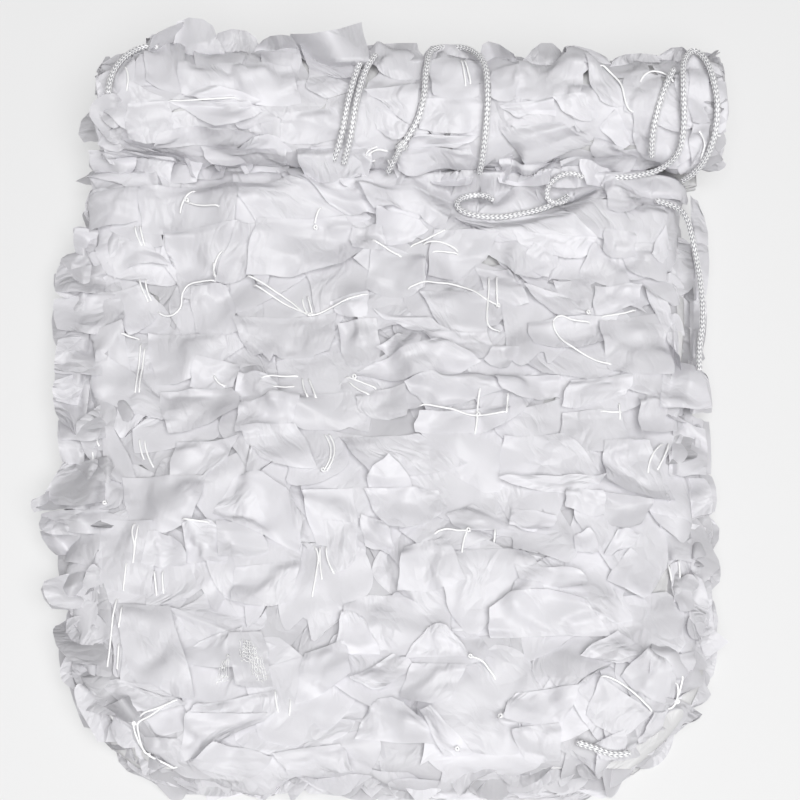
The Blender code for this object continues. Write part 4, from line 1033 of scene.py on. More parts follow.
# Patches of fine glittering mesh: their corners round from the upper left, in pixels, and threads each way.
MeshPatch = namedtuple("MeshPatch", "upper_left upper_right lower_right lower_left threads")
MESH_PATCHES = (
    MeshPatch((240, 641), (256, 641), (258, 664), (241, 662), 8),
    MeshPatch((252, 658), (261, 656), (268, 681), (252, 680), 6),
    MeshPatch((228, 656), (231, 658), (227, 678), (212, 680), 5),
)
THREAD_RADIUS, THREAD_SIDES, THREAD_POINTS = 0.00024, 5, 16
THREAD_DRIFT, THREAD_HEIGHTS = 0.035, (-0.0002, 0.0008)


def string_route(pile, spot, pixels):
    """A string's centre line over the pile, its two ends tucked in."""
    u, v = spot(*np.array(pixels, float).T)
    places = smooth_route(np.stack([u, v], -1), STRING_STEP)
    top = pile.top(*places.T)
    window = np.ones(SMOOTHING_WIDTH) / SMOOTHING_WIDTH
    for _ in range(SMOOTHING_PASSES):
        padded = np.pad(top, SMOOTHING_WIDTH // 2, mode="edge")
        top = np.maximum(np.convolve(padded, window, "valid"), top - SMOOTHING_SINK)
    ends = np.minimum(np.arange(len(top)), np.arange(len(top))[::-1]) * STRING_STEP
    tuck = TUCK_DEPTH * np.clip(1 - ends / TUCK_LENGTH, 0, 1) ** 2
    height = top + STRING_DIAMETER / 2 - tuck
    return pile.place(places[:, 0], places[:, 1], height - pile.depth)


def mesh_patch(rng, pile, patch):
    """Fine threads that cross each other in a patch on the pile."""
    corners = np.array(patch[:4], float)
    grids = []
    run = np.linspace(0, 1, THREAD_POINTS)[:, None]
    for across in (True, False):
        for share in np.linspace(0.03, 0.97, patch.threads):
            drift = (share + rng.normal(0, THREAD_DRIFT, THREAD_POINTS))[:, None]
            part = rng.uniform(0, 0.3) + rng.uniform(0.4, 0.9) * run
            a, b = (drift, part) if across else (part, drift)
            u, v = strip_spot(*between(corners, a, b).T)
            height = pile.top(u, v) + rng.uniform(*THREAD_HEIGHTS, THREAD_POINTS)
            grids.append(tube_grid(pile.place(u, v, height - pile.depth), THREAD_RADIUS, THREAD_SIDES))
    return grids


def knot_route(pile, pixel):
    """A small round knot's thread, two turns about the string."""
    u, v = strip_spot(*np.array(pixel, float)[:, None])
    turn = np.linspace(0, 4 * math.pi, KNOT_POINTS)
    u = u + KNOT_RADIUS * np.cos(turn) + KNOT_DRIFT * turn / 6
    v = v + KNOT_RADIUS * np.sin(turn)
    height = pile.top(u, v) + KNOT_HEIGHT + KNOT_RISE * np.sin(1.5 * turn)
    return pile.place(u, v, height - pile.depth)


def net_strings(rng, strip, roll):
    """The net's thin strings where they come out between flaps, their knots and patches of fine mesh."""
    routes = [string_route(strip, strip_spot, pixels) for pixels in NET_STRINGS]
    routes += [string_route(roll, roll_spot, pixels) for pixels in ROLL_STRINGS]
    grids = [tube_grid(route, STRING_DIAMETER / 2, STRING_SIDES) for route in routes]
    for patch in MESH_PATCHES:
        grids += mesh_patch(rng, strip, patch)
    return grids + [tube_grid(knot_route(strip, pixel), KNOT_THREAD, STRING_SIDES) for pixel in NET_KNOTS]


# ---- free leaves at the folds and ends

# Levels of leaf tips around the loose end: their height on its full height, count and reach, and how far
# their roots lie in from the rim and sink.
RimLevel = namedtuple("RimLevel", "height count reach inward sunk")
RIM_LEVELS = (
    RimLevel(0.010, 34, 0.004, 0.020, 0.0),
    RimLevel(0.019, 34, 0.006, 0.020, 0.0),
    RimLevel(0.029, 36, 0.007, 0.020, 0.0),
    RimLevel(0.037, 34, 0.006, 0.027, 0.0035),
)
RIM_STEPS, RIM_SLOPE, RIM_LENGTH = 10, 0.35, 0.020
RIM_REACHES, RIM_WIDTHS, RIM_DROOPS, RIM_TURNS = (0.2, 1.6), (0.034, 0.066), (0.0, 0.014), 0.30
RIM_BACK_GAP = 0.050

# Rings of leaf tips at the roll's ends: their depth under its outer side and count. They begin at END_START
# and go round END_ARC degrees.
EndRing = namedtuple("EndRing", "depth count")
END_RINGS = (EndRing(0.006, 13), EndRing(0.014, 10), EndRing(0.023, 7), EndRing(0.032, 5))
END_START, END_ARC = 40, 235
END_STEPS, END_LEAF_SLOPE, END_INWARD = 8, 0.30, 0.016
END_LENGTHS, END_WIDTHS, END_DROOPS = (0.016, 0.022), (0.018, 0.034), (0, 0.004)

# The softness with which free leaves meet the ground, and their tones, low as painted shade at the rims and
# ends.
FREE_LANDING, FREE_SHADED_TONES = 0.0012, (0.66, 0.88)


def free_leaf(rng, root, out, side, length, width, kind, droop, slope, steps):
    """A leaf that stands out from root along out, and droops towards the ground."""
    _, _, own = flat_leaf(rng, (0, 0), 0, length, width, kind, steps)
    a, b, along, across = own
    relief = leaf_relief(rng, own, 0.0, slope)
    up = unit(np.cross(out, side))
    if up[2] < 0:
        up = -up
    points = root + along[..., None] * out + across[..., None] * side + relief[..., None] * up
    points[..., 2] -= droop * (along / length) ** 2
    points = above_ground(points, FREE_LANDING)
    # Free leaves get low tones, as painted shade.
    return Grid(points, cloth_places(rng, along, across), edge_highlighted(a, b, rng.uniform(*FREE_SHADED_TONES)))


def strip_edge(share):
    """A point of the loose end's rim and its outward direction, from the left back by the front."""
    left, right = STRIP_LEFT + CORNER_RADIUS, STRIP_RIGHT - CORNER_RADIUS
    near, far = STRIP_FRONT + FRONT_TUCK + CORNER_RADIUS, STRIP_BACK - RIM_BACK_GAP
    quarter = math.pi / 2 * CORNER_RADIUS
    lengths = [far - near, quarter, right - left, quarter, far - near]
    run = share * sum(lengths)
    for part, length in enumerate(lengths):
        if run <= length or part == 4:
            break
        run -= length
    if part == 0:
        return (STRIP_LEFT, far - run), (-1.0, 0.0)
    if part == 2:
        return (left + run, STRIP_FRONT + FRONT_TUCK), (0.0, -1.0)
    if part == 4:
        return (STRIP_RIGHT, near + run), (1.0, 0.0)
    middle, start = (left, math.pi) if part == 1 else (right, 1.5 * math.pi)
    turn = start + run / CORNER_RADIUS
    out = math.cos(turn), math.sin(turn)
    return (middle + CORNER_RADIUS * out[0], near + CORNER_RADIUS * out[1]), out


def rim_leaves(rng):
    """Leaf tips that come out of the folds around the loose end, at several levels."""
    grids = []
    for level in RIM_LEVELS:
        for i in range(level.count):
            (x, y), out = strip_edge((i + rng.uniform(0.2, 0.8)) / level.count)
            top = float(strip_top(x, y)) / STRIP_HEIGHT
            length = level.reach * rng.uniform(*RIM_REACHES) + RIM_LENGTH
            turn = rng.normal(0, RIM_TURNS)
            heading = np.array([out[0] * math.cos(turn) - out[1] * math.sin(turn),
                                out[0] * math.sin(turn) + out[1] * math.cos(turn), 0.0])
            side = unit(np.array([-heading[1], heading[0], rng.normal(0, 0.25)]))
            height = level.height * top - level.sunk + rng.normal(0, 0.001)
            root = np.array([x - out[0] * level.inward, y - out[1] * level.inward, height])
            width = rng.uniform(*RIM_WIDTHS)
            droop = rng.uniform(*RIM_DROOPS)
            heading = heading + np.array([0, 0, rng.normal(0.02, 0.12)])
            leaf = root, heading, side, length, width, rng.choice(KINDS), droop, RIM_SLOPE, RIM_STEPS
            grids.append(free_leaf(rng, *leaf))
    return grids


def end_leaves(rng):
    """Leaf tips that come out between the turns at the two ends of the roll."""
    grids = []
    for side, edge in ((-1, ROLL_LEFT), (1, ROLL_RIGHT)):
        for ring in END_RINGS:
            for i in range(ring.count):
                angle = END_START + END_ARC * (i + rng.uniform(0.1, 0.9)) / ring.count
                radius = float(roll_radius(edge, angle)) - ring.depth
                x = edge - side * (END_INWARD + 0.15 * ring.depth)
                root = roll_point(x, angle, radius)
                tangent = unit(roll_point(x, angle + 8, radius) - roll_point(x, angle - 8, radius))
                outward = roll_point(x, angle, radius + 0.01) - root
                out = unit(np.array([side, 0, 0]) + outward * rng.uniform(-10, 25))
                length, width = rng.uniform(*END_LENGTHS), rng.uniform(*END_WIDTHS)
                kind, droop = rng.choice(KINDS), rng.uniform(*END_DROOPS)
                leaf = root, out, tangent, length, width, kind, droop, END_LEAF_SLOPE, END_STEPS
                grids.append(free_leaf(rng, *leaf))
    return grids


# ---- the net's cloth

# The sheet: points across each layer and round each fold, rows on the strip and under the roll, its turn
# around the roll in degrees, and the row where its width is measured.
SHEET_COLUMNS, FOLD_STEPS, SHEET_ROWS, TAIL_ROWS = 46, 6, 96, 8
SHEET_TURN, SHEET_TURN_STEP = 640, 5.0
WIDTH_ROW = 40

# On the strip: how far layers lie in from its sides and front, how deep the top one is under the leaves, at
# most as a share of the height, the lowest one's height, and the distance between layers.
SHEET_INSET, SHEET_FRONT, SHEET_DEPTH, SHEET_DEPTH_SHARE = 0.014, 0.010, STRIP_DEPTH + 0.0025, 0.60
SHEET_LOW, LAYER_SPACING = 0.0016, 0.0108
WANDER_WAVES = (Wave(0.0035, 21, 7.2, 0), Wave(0.0020, 47, 4, 0))

# Under the roll and around it: the reach of folds, the height of all layers, and how deep they lie under the
# outer side, less along the inner turn and where the sheet comes in.
ROLL_FOLD, TAIL_INSETS, TAIL_HEIGHT = 0.0016, (0.010, 0.022), 0.0086
WOUND_DEPTH, INNER_LESS, ENTRY_LESS, WOUND_HEIGHT = 0.0088, 0.0060, 0.0072, 0.0096
INNER_ARC, ENTRY_ARC, WOUND_FOLDS_ARC = (330, 480), (0, 40), (10, 40)


def layer_line():
    """The folded section: share across the strip and level of each point, and how far out it is in a fold."""
    rows = []
    for layer in range(LAYERS):
        heading = 1 if layer % 2 == 0 else -1
        for column in range(SHEET_COLUMNS + 1):
            share = column / SHEET_COLUMNS if heading > 0 else 1 - column / SHEET_COLUMNS
            rows.append((share, layer, 0.0))
        if layer < LAYERS - 1:
            for step in range(1, FOLD_STEPS):
                turn = math.pi * step / FOLD_STEPS
                rows.append((max(heading, 0), layer + (1 - math.cos(turn)) / 2, heading * math.sin(turn)))
    return np.array(rows).T


def net_cloth():
    """The folded sheet, from the loose end's front, under the roll and into its turns, and its flat size."""
    share, level, fold = layer_line()
    level = level / (LAYERS - 1)
    rows = []
    for y in np.linspace(STRIP_FRONT + FRONT_TUCK + SHEET_FRONT, STRIP_BACK, SHEET_ROWS):
        inset = corner_inset(y)
        wander = waves(WANDER_WAVES, y, level)
        spacing = LAYER_SPACING * np.interp(y, *zip(*HEIGHT_ALONG))
        left, right = STRIP_LEFT + inset + wander + SHEET_INSET, STRIP_RIGHT - inset + wander - SHEET_INSET
        x = left + (right - left) * share + fold * spacing / 2
        top = strip_top(x, y) - np.minimum(SHEET_DEPTH, SHEET_DEPTH_SHARE * strip_top(x, y))
        folds = 0.0012 * np.sin(160 * x + 60 * y + 9 * level) * np.sin(90 * y - 70 * x) * (0.3 + level)
        z = SHEET_LOW + level * (top - SHEET_LOW) + folds * (level > 0.05)
        rows.append(np.stack([x, np.full_like(x, y), z], -1))
    for y in np.linspace(STRIP_BACK, ROLL_CENTRE_Y, TAIL_ROWS)[1:-1]:
        x = ROLL_LEFT + TAIL_INSETS[0] + (ROLL_RIGHT - ROLL_LEFT - TAIL_INSETS[1]) * share + fold * ROLL_FOLD
        rows.append(np.stack([x, np.full_like(x, y), SHEET_LOW + level * TAIL_HEIGHT], -1))
    for angle in np.arange(0, SHEET_TURN, SHEET_TURN_STEP):
        side = 0.0035 * max(angle - 150, 0.0) / 90 + 0.004
        ragged = 0.0025 * math.sin(math.radians(2 * angle))
        x = ROLL_LEFT + side + ragged + (ROLL_RIGHT - ROLL_LEFT - 2 * side) * share + fold * ROLL_FOLD
        room = WOUND_DEPTH - INNER_LESS * blend(angle, *INNER_ARC)
        room = room - ENTRY_LESS * (1 - blend(angle, *ENTRY_ARC))
        folds = 0.0006 * np.sin(150 * x + 0.09 * angle + 5 * level) * blend(angle, *WOUND_FOLDS_ARC)
        radius = roll_radius(x, angle) - room - (1 - level) * WOUND_HEIGHT + folds
        rows.append(roll_point(x, angle, np.minimum(radius, ROLL_RADIUS - 0.0012)))
    points = np.array(rows)
    length, width = distances(points[:, 0]), distances(points[WIDTH_ROW])
    uv = np.stack(np.broadcast_arrays(width[None, :], length[:, None]), -1)
    return Grid(points, uv, 0.96), width[-1], length[-1]


# ---- meshes


def grid_mesh(name, grids, material):
    """One mesh object of many grids of points, smooth, with its cloth coordinates and each grid's tone."""
    points, quads, places, tones, start = [], [], [], [], 0
    for grid in grids:
        rows, columns = grid.points.shape[:2]
        index = start + np.arange(rows * columns).reshape(rows, columns)
        corners = index[:-1, :-1], index[1:, :-1], index[1:, 1:], index[:-1, 1:]
        quads.append(np.stack(corners, -1).reshape(-1, 4))
        points.append(grid.points.reshape(-1, 3))
        places.append(grid.uv.reshape(-1, 2))
        tones.append(np.broadcast_to(np.asarray(grid.tone, float), (rows, columns)).reshape(-1))
        start += rows * columns
    points, quads = np.concatenate(points), np.concatenate(quads)
    mesh = bpy.data.meshes.new(name)
    mesh.vertices.add(len(points))
    mesh.vertices.foreach_set("co", points.astype(np.float32).ravel())
    mesh.loops.add(quads.size)
    mesh.loops.foreach_set("vertex_index", quads.astype(np.int32).ravel())
    mesh.polygons.add(len(quads))
    mesh.polygons.foreach_set("loop_start", np.arange(0, quads.size, 4, dtype=np.int32))
    mesh.update(calc_edges=True)
    uv = mesh.uv_layers.new(name="cloth")
    uv.data.foreach_set("uv", np.concatenate(places)[quads.ravel()].astype(np.float32).ravel())
    tone = mesh.attributes.new("tone", "FLOAT", "POINT")
    tone.data.foreach_set("value", np.concatenate(tones).astype(np.float32))
    mesh.shade_smooth()
    mesh.materials.append(material)
    piece = bpy.data.objects.new(name, mesh)
    bpy.context.scene.collection.objects.link(piece)
    return piece


def tube_grid(route, radii, sides, tones=1.0):
    """A tube along route as a grid of points. radii holds one value, or one for each ring and side."""
    route = np.asarray(route)
    ahead = np.gradient(route, axis=0)
    ahead /= np.linalg.norm(ahead, axis=1)[:, None]
    across = np.cross(ahead[0], (0.0, 0.0, 1.0))
    frames = []
    for direction in ahead:
        across = unit(across - direction * across.dot(direction))
        frames.append((across, np.cross(direction, across)))
    turns = np.linspace(0, 2 * math.pi, sides + 1)
    radii = np.broadcast_to(np.asarray(radii, float), (len(route), sides + 1))
    frames = np.array(frames)
    ring = np.cos(turns)[None, :, None] * frames[:, 0, None]
    ring = ring + np.sin(turns)[None, :, None] * frames[:, 1, None]
    points = route[:, None] + ring * radii[..., None]
    around = turns[None, :] * float(np.mean(radii))
    return Grid(points, np.stack(np.broadcast_arrays(around, distances(route)[:, None]), -1), tones)


def smooth_route(points, step):
    """Points about step apart on a Catmull-Rom curve through points, whose ends keep their bend."""
    points = np.array(points, float)
    before = 3 * points[0] - 3 * points[1] + points[2]
    after = 3 * points[-1] - 3 * points[-2] + points[-3]
    padded = np.concatenate([[before], points, [after]])
    dense = []
    for a, b, c, d in zip(padded, padded[1:], padded[2:], padded[3:]):
        for t in np.arange(16) / 16:
            cubic, square = 3 * (b - c) + d - a, 2 * a - 5 * b + 4 * c - d
            dense.append(b + t * (c - a) / 2 + t * t * square / 2 + t**3 * cubic / 2)
    dense = np.array([*dense, points[-1]])
    run = distances(dense)
    places = np.linspace(0, run[-1], max(round(run[-1] / step), 4) + 1)
    return np.stack([np.interp(places, run, dense[:, k]) for k in range(dense.shape[1])], -1)


# ---- ropes

# A rope's run is on the roll, with rows of x, angle and height over the wrap, or on the strip, with rows of
# x, y and height over its top. A row without a height lies at 0.
ROLL, STRIP = "roll", "strip"
RopeRun = namedtuple("RopeRun", "surface rows")
ROPE_RUNS = {
    "tie_cord": RopeRun(ROLL, (
        (-0.0085, 256), (-0.0008, 235), (0.0112, 212), (0.0158, 193), (0.0178, 166), (0.0215, 142),
        (0.0335, 128), (0.0470, 139), (0.0560, 163), (0.0582, 187), (0.0575, 210), (0.0555, 236),
        (0.0535, 258),
    )),
    "tie_cord_foot": RopeRun(STRIP, (
        (0.0640, 0.1500), (0.0560, 0.1560, 0.0006), (0.0450, 0.1545), (0.0388, 0.1470), (0.0420, 0.1390),
        (0.0530, 0.1345), (0.0680, 0.1335), (0.0830, 0.1365), (0.0960, 0.1410), (0.1080, 0.1485),
        (0.1150, 0.1550, 0.0010),
    )),
    "tie_strand_left": RopeRun(ROLL, (
        (-0.0225, 146), (-0.0290, 170), (-0.0345, 196), (-0.0385, 220), (-0.0445, 244),
    )),
    "tie_strand_right": RopeRun(ROLL, (
        (-0.0160, 150), (-0.0235, 171), (-0.0290, 196), (-0.0325, 221), (-0.0380, 247),
    )),
    "border_rope_end": RopeRun(ROLL, (
        (0.1450, 272), (0.1620, 268), (0.1770, 256), (0.1865, 237), (0.1885, 213), (0.1880, 187),
        (0.1900, 163), (0.1980, 146), (0.2050, 158), (0.2090, 180), (0.2110, 204), (0.2085, 232),
        (0.2020, 257), (0.1930, 278, 0.0008),
    )),
    "border_rope_inner": RopeRun(ROLL, (
        (0.1830, 170), (0.1735, 194), (0.1685, 219), (0.1690, 243),
    )),
    "border_rope_side": RopeRun(STRIP, (
        (0.1740, 0.1500), (0.1880, 0.1420), (0.1935, 0.1330, 0.0004), (0.1965, 0.1180, 0.0006),
        (0.1990, 0.1020, 0.0012), (0.2005, 0.0860, 0.0016), (0.2010, 0.0690, 0.0016),
        (0.2000, 0.0530, 0.0012), (0.1975, 0.0390, 0.0006), (0.1965, 0.0220, 0.0004),
    )),
    "border_rope_left": RopeRun(ROLL, (
        (-0.1640, 140), (-0.1740, 136), (-0.1840, 148), (-0.1915, 168), (-0.1940, 190),
    )),
    "border_rope_front": RopeRun(STRIP, (
        (0.1070, -0.2230), (0.1180, -0.2265), (0.1290, -0.2300, 0.0004), (0.1400, -0.2290, 0.0008),
    )),
}
ROPE_STEP, PATH_STEP, PRESS_STEP = 0.0005, 4, 0.0015

# The rope's loop at the roll's foot, of thinner braid: pixels and heights in millimetres along it.
LoopSpot = namedtuple("LoopSpot", "x y height")
FOOT_LOOP = tuple(LoopSpot(*row) for row in (
    (569, 197, 39), (563, 202, 42), (555, 203, 44), (548, 199, 46), (547, 191, 49), (551, 183, 53),
    (558, 177, 57), (566, 174, 59), (575, 174, 60), (583, 178, 57),
))
LOOP_DIAMETER = 0.0034

# The knot around the tie cord, of thinner braid: its place as a share of the cord's run, its turns, its tail
# along x and y and its drop, and the coil's radius and length.
KNOT_AT, KNOT_TURNS, KNOT_TAIL, KNOT_TAIL_DROP = 0.10, 2.3, (-0.0040, -0.0085), 0.012
KNOT_DIAMETER, COIL_RADIUS, COIL_LENGTH = 0.0026, 0.0030, 0.0050

# The braid: sides of its tube, columns of stitches, a stitch's length, slant and height, how deep the ground
# between them lies, and the rounding of its ends.
BRAID_SIDES, BRAID_COLUMNS, STITCH, SLANT = 32, 8, 0.0031, 0.9
STITCH_HEIGHT, BRAID_GROUND, END_ROUNDING = 0.00050, 0.00042, 0.0012


def rope_point(surface, x, place, height=0.0):
    """A rope run's row as a point of the rope's centre line."""
    if surface == ROLL:
        return roll_point(x, place, roll_radius(x, place) + ROPE_LIFT + height)
    reach = ROPE_DIAMETER / 2
    slope = (strip_top(x, place + reach) - strip_top(x, place - reach)) / ROPE_DIAMETER
    return np.array([x, place, strip_top(x, place) + (ROPE_LIFT + height) * math.hypot(1, slope)])


def rope_route(run):
    """The dense smooth centre line of a rope's run."""
    return smooth_route([rope_point(run.surface, *row) for row in run.rows], ROPE_STEP)


def rope_places(surface):
    """Places on the strip's or the roll's surface that ropes cross."""
    routes = []
    for run in ROPE_RUNS.values():
        if run.surface == surface:
            places = [row[:2] for row in run.rows]
            if surface == ROLL:
                places = [(x, (180 - angle) * math.pi / 180 * ROLL_RADIUS) for x, angle in places]
            routes.append(smooth_route(places, PRESS_STEP))
    return routes


def braided_tube(route, diameter):
    """A braided rope along a dense route, columns of slanted stitches around it, with rounded ends."""
    length = distances(route)
    turns = np.linspace(0, 1, BRAID_SIDES + 1)[None, :] * BRAID_COLUMNS
    within = turns % 1.0 - 0.5
    slant = np.where(turns.astype(int) % 2 == 0, 1.0, -1.0)
    phase = length[:, None] / (STITCH * diameter / ROPE_DIAMETER) + slant * within * SLANT
    relief = (0.5 + 0.5 * np.cos(2 * math.pi * phase)) ** 0.8 * np.cos(math.pi * within) ** 0.6
    run_in = np.minimum(length, length[-1] - length)[:, None]
    rounded = np.sqrt(np.clip(1 - (1 - run_in / END_ROUNDING) ** 2, 0.0, 1.0))
    cap = np.where(run_in < END_ROUNDING, rounded, 1.0)
    radii = (diameter / 2 - BRAID_GROUND + STITCH_HEIGHT * relief) * np.maximum(cap, 0.02)
    # The relief is also the tube's tone, which the rope's material turns into painted shade in the grooves.
    return tube_grid(route, radii, BRAID_SIDES, relief), float(length[-1])


def add_rope(name, run, material, knots=()):
    """A braided rope along its run, with the knots that are on it."""
    route = rope_route(run)
    tube, length = braided_tube(route, ROPE_DIAMETER)
    rope = grid_mesh("rope_" + name, [tube], material)
    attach(rope, "root")
    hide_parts(name)
    for number, knot in enumerate(knots):
        piece = grid_mesh("knot_%s_%d" % (name, number), [knot], material)
        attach(piece, "root")


def wrapped_knot(run):
    """A knot of thinner braid: turns around the rope, and a tail."""
    route = rope_route(run)
    middle = int(KNOT_AT * (len(route) - 1))
    ahead = unit(route[middle + 4] - route[middle - 4])
    across = unit(np.cross(ahead, (0, 0, 1.0)))
    above = np.cross(across, ahead)
    turn = np.linspace(0.25, KNOT_TURNS, round(KNOT_TURNS * 40)) * 2 * math.pi
    climb = (turn / turn[-1] - 0.5) * COIL_LENGTH
    ring = np.cos(turn)[:, None] * across + np.sin(turn)[:, None] * above
    coil = route[middle] + ring * COIL_RADIUS + climb[:, None] * ahead
    share = np.linspace(0, 1, 40)[1:, None]
    tail = coil[-1] + share * np.array([*KNOT_TAIL, 0.0]) - share**2 * np.array([0, 0, KNOT_TAIL_DROP])
    return braided_tube(smooth_route(np.concatenate([coil[::4], tail[::4]]), ROPE_STEP), KNOT_DIAMETER)[0]


def loop_knot():
    """The loop of rope at the roll's foot, at the end of the tie cord's tail."""
    px, py, height = np.array(FOOT_LOOP, float).T
    return braided_tube(smooth_route(level_spot(px, py, height * MILLIMETRE), ROPE_STEP), LOOP_DIAMETER)[0]


# ---- materials

# The cloth's crumples: how many facets there are for each metre across and along a leaf, and their depth.
Crumple = namedtuple("Crumple", "across along depth")
CRUMPLES = (Crumple(62.0, 42.0, 0.0022), Crumple(190.0, 80.0, 0.0007))


def new_material(name):
    """A new material and its empty tree of nodes."""
    material = bpy.data.materials.new(name)
    material.use_nodes = True
    tree = material.node_tree
    tree.nodes.clear()
    return material, tree


def add_node(tree, kind, **values):
    """A node with its sockets or settings set by name. A value that is an output is linked to that socket."""
    node = tree.nodes.new("ShaderNode" + kind)
    for name, value in values.items():
        socket = name.replace("_", " ")
        if socket not in node.inputs:
            setattr(node, name, value)
        elif isinstance(value, bpy.types.NodeSocket):
            tree.links.new(value, node.inputs[socket])
        else:
            node.inputs[socket].default_value = value
    return node


def map_range(tree, value, low, high, **settings):
    """The output of a node that maps value from the range low to the range high."""
    node = add_node(tree, "MapRange", Value=value, From_Min=low[0], From_Max=low[1],
                    To_Min=high[0], To_Max=high[1], **settings)
    return node.outputs["Result"]


def finish_material(tree, shader):
    """Links the last shader to the material's surface."""
    add_node(tree, "OutputMaterial", Surface=shader.outputs[0])


def cloth_material(name, white, see_through, crumple):
    """Thin white cloth, glossy, a little translucent, with flat facets between fine creases."""
    material, tree = new_material(name)
    place = add_node(tree, "TexCoord").outputs["Object"]
    uv = add_node(tree, "UVMap", uv_map="cloth").outputs["UV"]
    tone = add_node(tree, "Attribute", attribute_name="tone").outputs["Fac"]

    cloud = add_node(tree, "TexNoise", Scale=34.0, Detail=1.0, Vector=place).outputs["Fac"]
    shade = add_node(tree, "Math", operation="MULTIPLY")
    tree.links.new(map_range(tree, cloud, (0.3, 0.7), (0.965, 1.0)), shade.inputs[0])
    tree.links.new(tone, shade.inputs[1])
    colour = add_node(tree, "VectorMath", operation="SCALE", Scale=shade.outputs[0])
    colour.inputs[0].default_value = white

    bends = add_node(tree, "TexNoise", noise_dimensions="2D", Scale=45.0, Detail=1.0, Vector=uv)
    shift = add_node(tree, "VectorMath", operation="SCALE", Scale=0.012)
    tree.links.new(bends.outputs["Color"], shift.inputs[0])
    bent = add_node(tree, "VectorMath", operation="ADD")
    tree.links.new(uv, bent.inputs[0])
    tree.links.new(shift.outputs[0], bent.inputs[1])
    patches = add_node(tree, "TexNoise", noise_dimensions="2D", Scale=28.0, Detail=0.0, Vector=uv)
    amount = map_range(tree, patches.outputs["Fac"], (0.38, 0.62), (0.15, 1.0))
    normal = None
    for size in CRUMPLES:
        stretched = add_node(tree, "Mapping", Vector=bent.outputs[0], Scale=(size.across, size.along, 1.0))
        facets = add_node(tree, "TexVoronoi", voronoi_dimensions="2D", feature="DISTANCE_TO_EDGE", Scale=1.0,
                          Vector=stretched.outputs[0])
        bump = add_node(tree, "Bump", Distance=size.depth * crumple, Height=facets.outputs["Distance"],
                        Strength=amount)
        if normal:
            tree.links.new(normal, bump.inputs["Normal"])
        normal = bump.outputs["Normal"]

    surface = add_node(tree, "BsdfPrincipled", Roughness=0.42, Specular_IOR_Level=0.35,
                       Base_Color=colour.outputs[0], Normal=normal)
    through = add_node(tree, "BsdfTranslucent", Color=colour.outputs[0], Normal=normal)
    mixed = add_node(tree, "MixShader", Fac=see_through)
    tree.links.new(surface.outputs[0], mixed.inputs[1])
    tree.links.new(through.outputs[0], mixed.inputs[2])
    finish_material(tree, mixed)
    return material


def fibre_bump(tree, scale, detail, strength):
    """A surface's normal with the fine relief of twisted fibres."""
    place = add_node(tree, "TexCoord").outputs["Object"]
    fibres = add_node(tree, "TexNoise", Scale=scale, Detail=detail, Vector=place).outputs["Fac"]
    return add_node(tree, "Bump", Strength=strength, Distance=0.0002, Height=fibres).outputs["Normal"]


def string_material():
    """Bright white knotted string."""
    material, tree = new_material("net_string")
    surface = add_node(tree, "BsdfPrincipled", Roughness=0.45, Base_Color=STRING_WHITE,
                       Normal=fibre_bump(tree, 700.0, 2.0, 0.2))
    finish_material(tree, surface)
    return material


def rope_material():
    """Glossy white braid, with painted shade between its stitches."""
    material, tree = new_material("braided_rope")
    tone = add_node(tree, "Attribute", attribute_name="tone").outputs["Fac"]
    # The stitches' relief, low in the grooves, becomes painted shade there.
    ramp = add_node(tree, "ValToRGB", Fac=tone)
    grey, white = ramp.color_ramp.elements
    grey.position, grey.color = 0.05, STITCH_SHADE_GREY
    white.position, white.color = 0.60, STITCH_WHITE
    surface = add_node(tree, "BsdfPrincipled", Roughness=0.30, Specular_IOR_Level=0.6,
                       Base_Color=ramp.outputs["Color"], Normal=fibre_bump(tree, 900.0, 3.0, 0.3))
    finish_material(tree, surface)
    return material


# ---- stage

FLOOR_REACH, FLOOR_DROP, FLOOR_GLOW = 6.0, 0.0006, 0.52
# The surround's strength, from its horizon to its upper part.
SKY_RISE, SKY_STRENGTH = (0.04, 0.30), (0.62, 0.11)
KEY_PLACE, KEY_SIZE, KEY_POWER = Vector((0.35, -1.15, 2.95)), 2.4, 130


def add_camera():
    """The photograph's camera."""
    data = bpy.data.cameras.new("camera")
    data.lens, data.sensor_width = LENS, SENSOR
    data.clip_start, data.clip_end = CLIP_NEAR, CLIP_FAR
    camera = bpy.data.objects.new("camera", data)
    forward = Vector((0, math.cos(CAMERA_ELEVATION), -math.sin(CAMERA_ELEVATION)))
    camera.location = CAMERA_TARGET - CAMERA_DISTANCE * forward
    camera.rotation_euler = (math.pi / 2 - CAMERA_ELEVATION, 0, 0)
    bpy.context.scene.collection.objects.link(camera)
    bpy.context.scene.camera = camera
    bpy.context.scene.view_settings.view_transform = "Standard"


def add_key_light():
    """A large soft light over the front, aimed at the origin."""
    data = bpy.data.lights.new("key", "AREA")
    data.shape, data.size, data.energy = "DISK", KEY_SIZE, KEY_POWER
    light = bpy.data.objects.new("key", data)
    light.location = KEY_PLACE
    light.rotation_euler = (-KEY_PLACE).to_track_quat("-Z", "Y").to_euler()
    bpy.context.scene.collection.objects.link(light)


def add_floor():
    """A plain pale floor that glows a little."""
    mesh = bpy.data.meshes.new("floor")
    corners = [(x * FLOOR_REACH, y * FLOOR_REACH, 0) for x, y in ((-1, -1), (1, -1), (1, 1), (-1, 1))]
    mesh.from_pydata(corners, [], [(0, 1, 2, 3)])
    floor = bpy.data.objects.new("floor", mesh)
    floor.location.z = -FLOOR_DROP
    bpy.context.scene.collection.objects.link(floor)
    material, tree = new_material("pale_floor")
    diffuse = add_node(tree, "BsdfDiffuse", Color=FLOOR_GREY)
    glow = add_node(tree, "Emission", Color=(1, 1, 1, 1), Strength=FLOOR_GLOW)
    both = add_node(tree, "AddShader")
    tree.links.new(diffuse.outputs[0], both.inputs[0])
    tree.links.new(glow.outputs[0], both.inputs[1])
    finish_material(tree, both)
    mesh.materials.append(material)


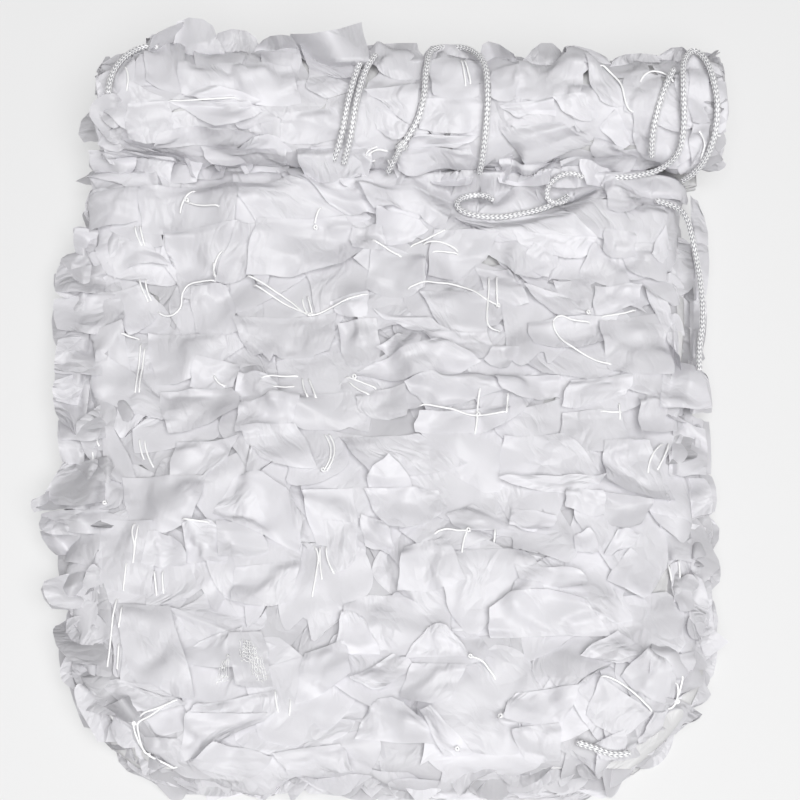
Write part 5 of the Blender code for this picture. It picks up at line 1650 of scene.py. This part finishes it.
def add_surround():
    """A pale surround, brightest near its horizon."""
    world = bpy.data.worlds.new("studio")
    bpy.context.scene.world = world
    world.use_nodes = True
    tree = world.node_tree
    background = tree.nodes["Background"]
    background.inputs["Color"].default_value = SKY_WHITE
    parts = add_node(tree, "SeparateXYZ", Vector=add_node(tree, "TexCoord").outputs["Generated"])
    fade = map_range(tree, parts.outputs["Z"], SKY_RISE, SKY_STRENGTH, interpolation_type="SMOOTHSTEP")
    tree.links.new(fade, background.inputs["Strength"])


# ---- the whole net

# How much light goes through leaves and the net, the rim's stronger crumples, and the stretch of y past which
# the pile isn't pressed.
LEAF_THROUGH, NET_THROUGH, RIM_CRUMPLE = 0.24, 0.10, 1.9
UNPRESSED_FROM = (0.157, 0.163)


def main():
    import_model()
    add_camera()
    add_floor()
    add_surround()
    add_key_light()
    rope = rope_material()
    knots = {"tie_cord": [wrapped_knot(ROPE_RUNS["tie_cord"])], "tie_cord_foot": [loop_knot()]}
    for name, run in ROPE_RUNS.items():
        add_rope(name, run, rope, knots.get(name, ()))

    cloth = cloth_material("net_cloth", NET_SHADE_GREY, NET_THROUGH, 1.0)
    leaf = cloth_material("leaf_cloth", LEAF_WHITE, LEAF_THROUGH, 1.0)
    rim_leaf = cloth_material("rim_cloth", LEAF_WHITE, LEAF_THROUGH, RIM_CRUMPLE)
    rng = np.random.default_rng(4)
    strip = Pile(*STRIP_CORNERS, strip_place, STRIP_DEPTH)
    strip.heights += fold_fill(*strip.cells())
    strip_base = sum((strip_leaves(rng, strip, rows) for rows in BASE_ROWS), [])
    strip_low = strip_leaves(rng, strip, LOW_ROWS)
    strip_flaps = [set_flap(rng, strip, strip_spot, flap) for flap in STRIP_FLAPS]
    strip.press_under(rope_places(STRIP))
    strip.press = np.maximum(strip.press, blend(strip.cells()[1], *UNPRESSED_FROM))
    roll = Pile(*ROLL_CORNERS, roll_place, ROLL_DEPTH)
    roll_low = roll_leaves(rng, roll, ROLL_ROWS)
    roll_flaps = [set_flap(rng, roll, roll_spot, flap) for flap in ROLL_FLAPS]
    roll.press_under(rope_places(ROLL))

    sheet, width, length = net_cloth()
    net = grid_mesh("net_cloth", [sheet], cloth)
    pieces = [
        grid_mesh("strip_leaves_base", leaf_grids(strip, strip_base), leaf),
        grid_mesh("strip_leaves_low", leaf_grids(strip, strip_low), leaf),
        grid_mesh("strip_leaves_top", leaf_grids(strip, strip_flaps), leaf),
        grid_mesh("roll_leaves_low", leaf_grids(roll, roll_low), leaf),
        grid_mesh("roll_leaves_top", leaf_grids(roll, roll_flaps), leaf),
        grid_mesh("rim_leaves", rim_leaves(rng), rim_leaf),
        grid_mesh("end_leaves", end_leaves(rng), rim_leaf),
        grid_mesh("outer_flaps", [free_flap(rng, flap, strip) for flap in FREE_FLAPS], rim_leaf),
        grid_mesh("tucked_flaps", tucked_flaps(rng), leaf),
        grid_mesh("net_strings", net_strings(rng, strip, roll), string_material()),
    ]
    for piece in [net, *pieces]:
        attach(piece, "root")
    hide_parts("net_loose_end", "net_roll")


main()
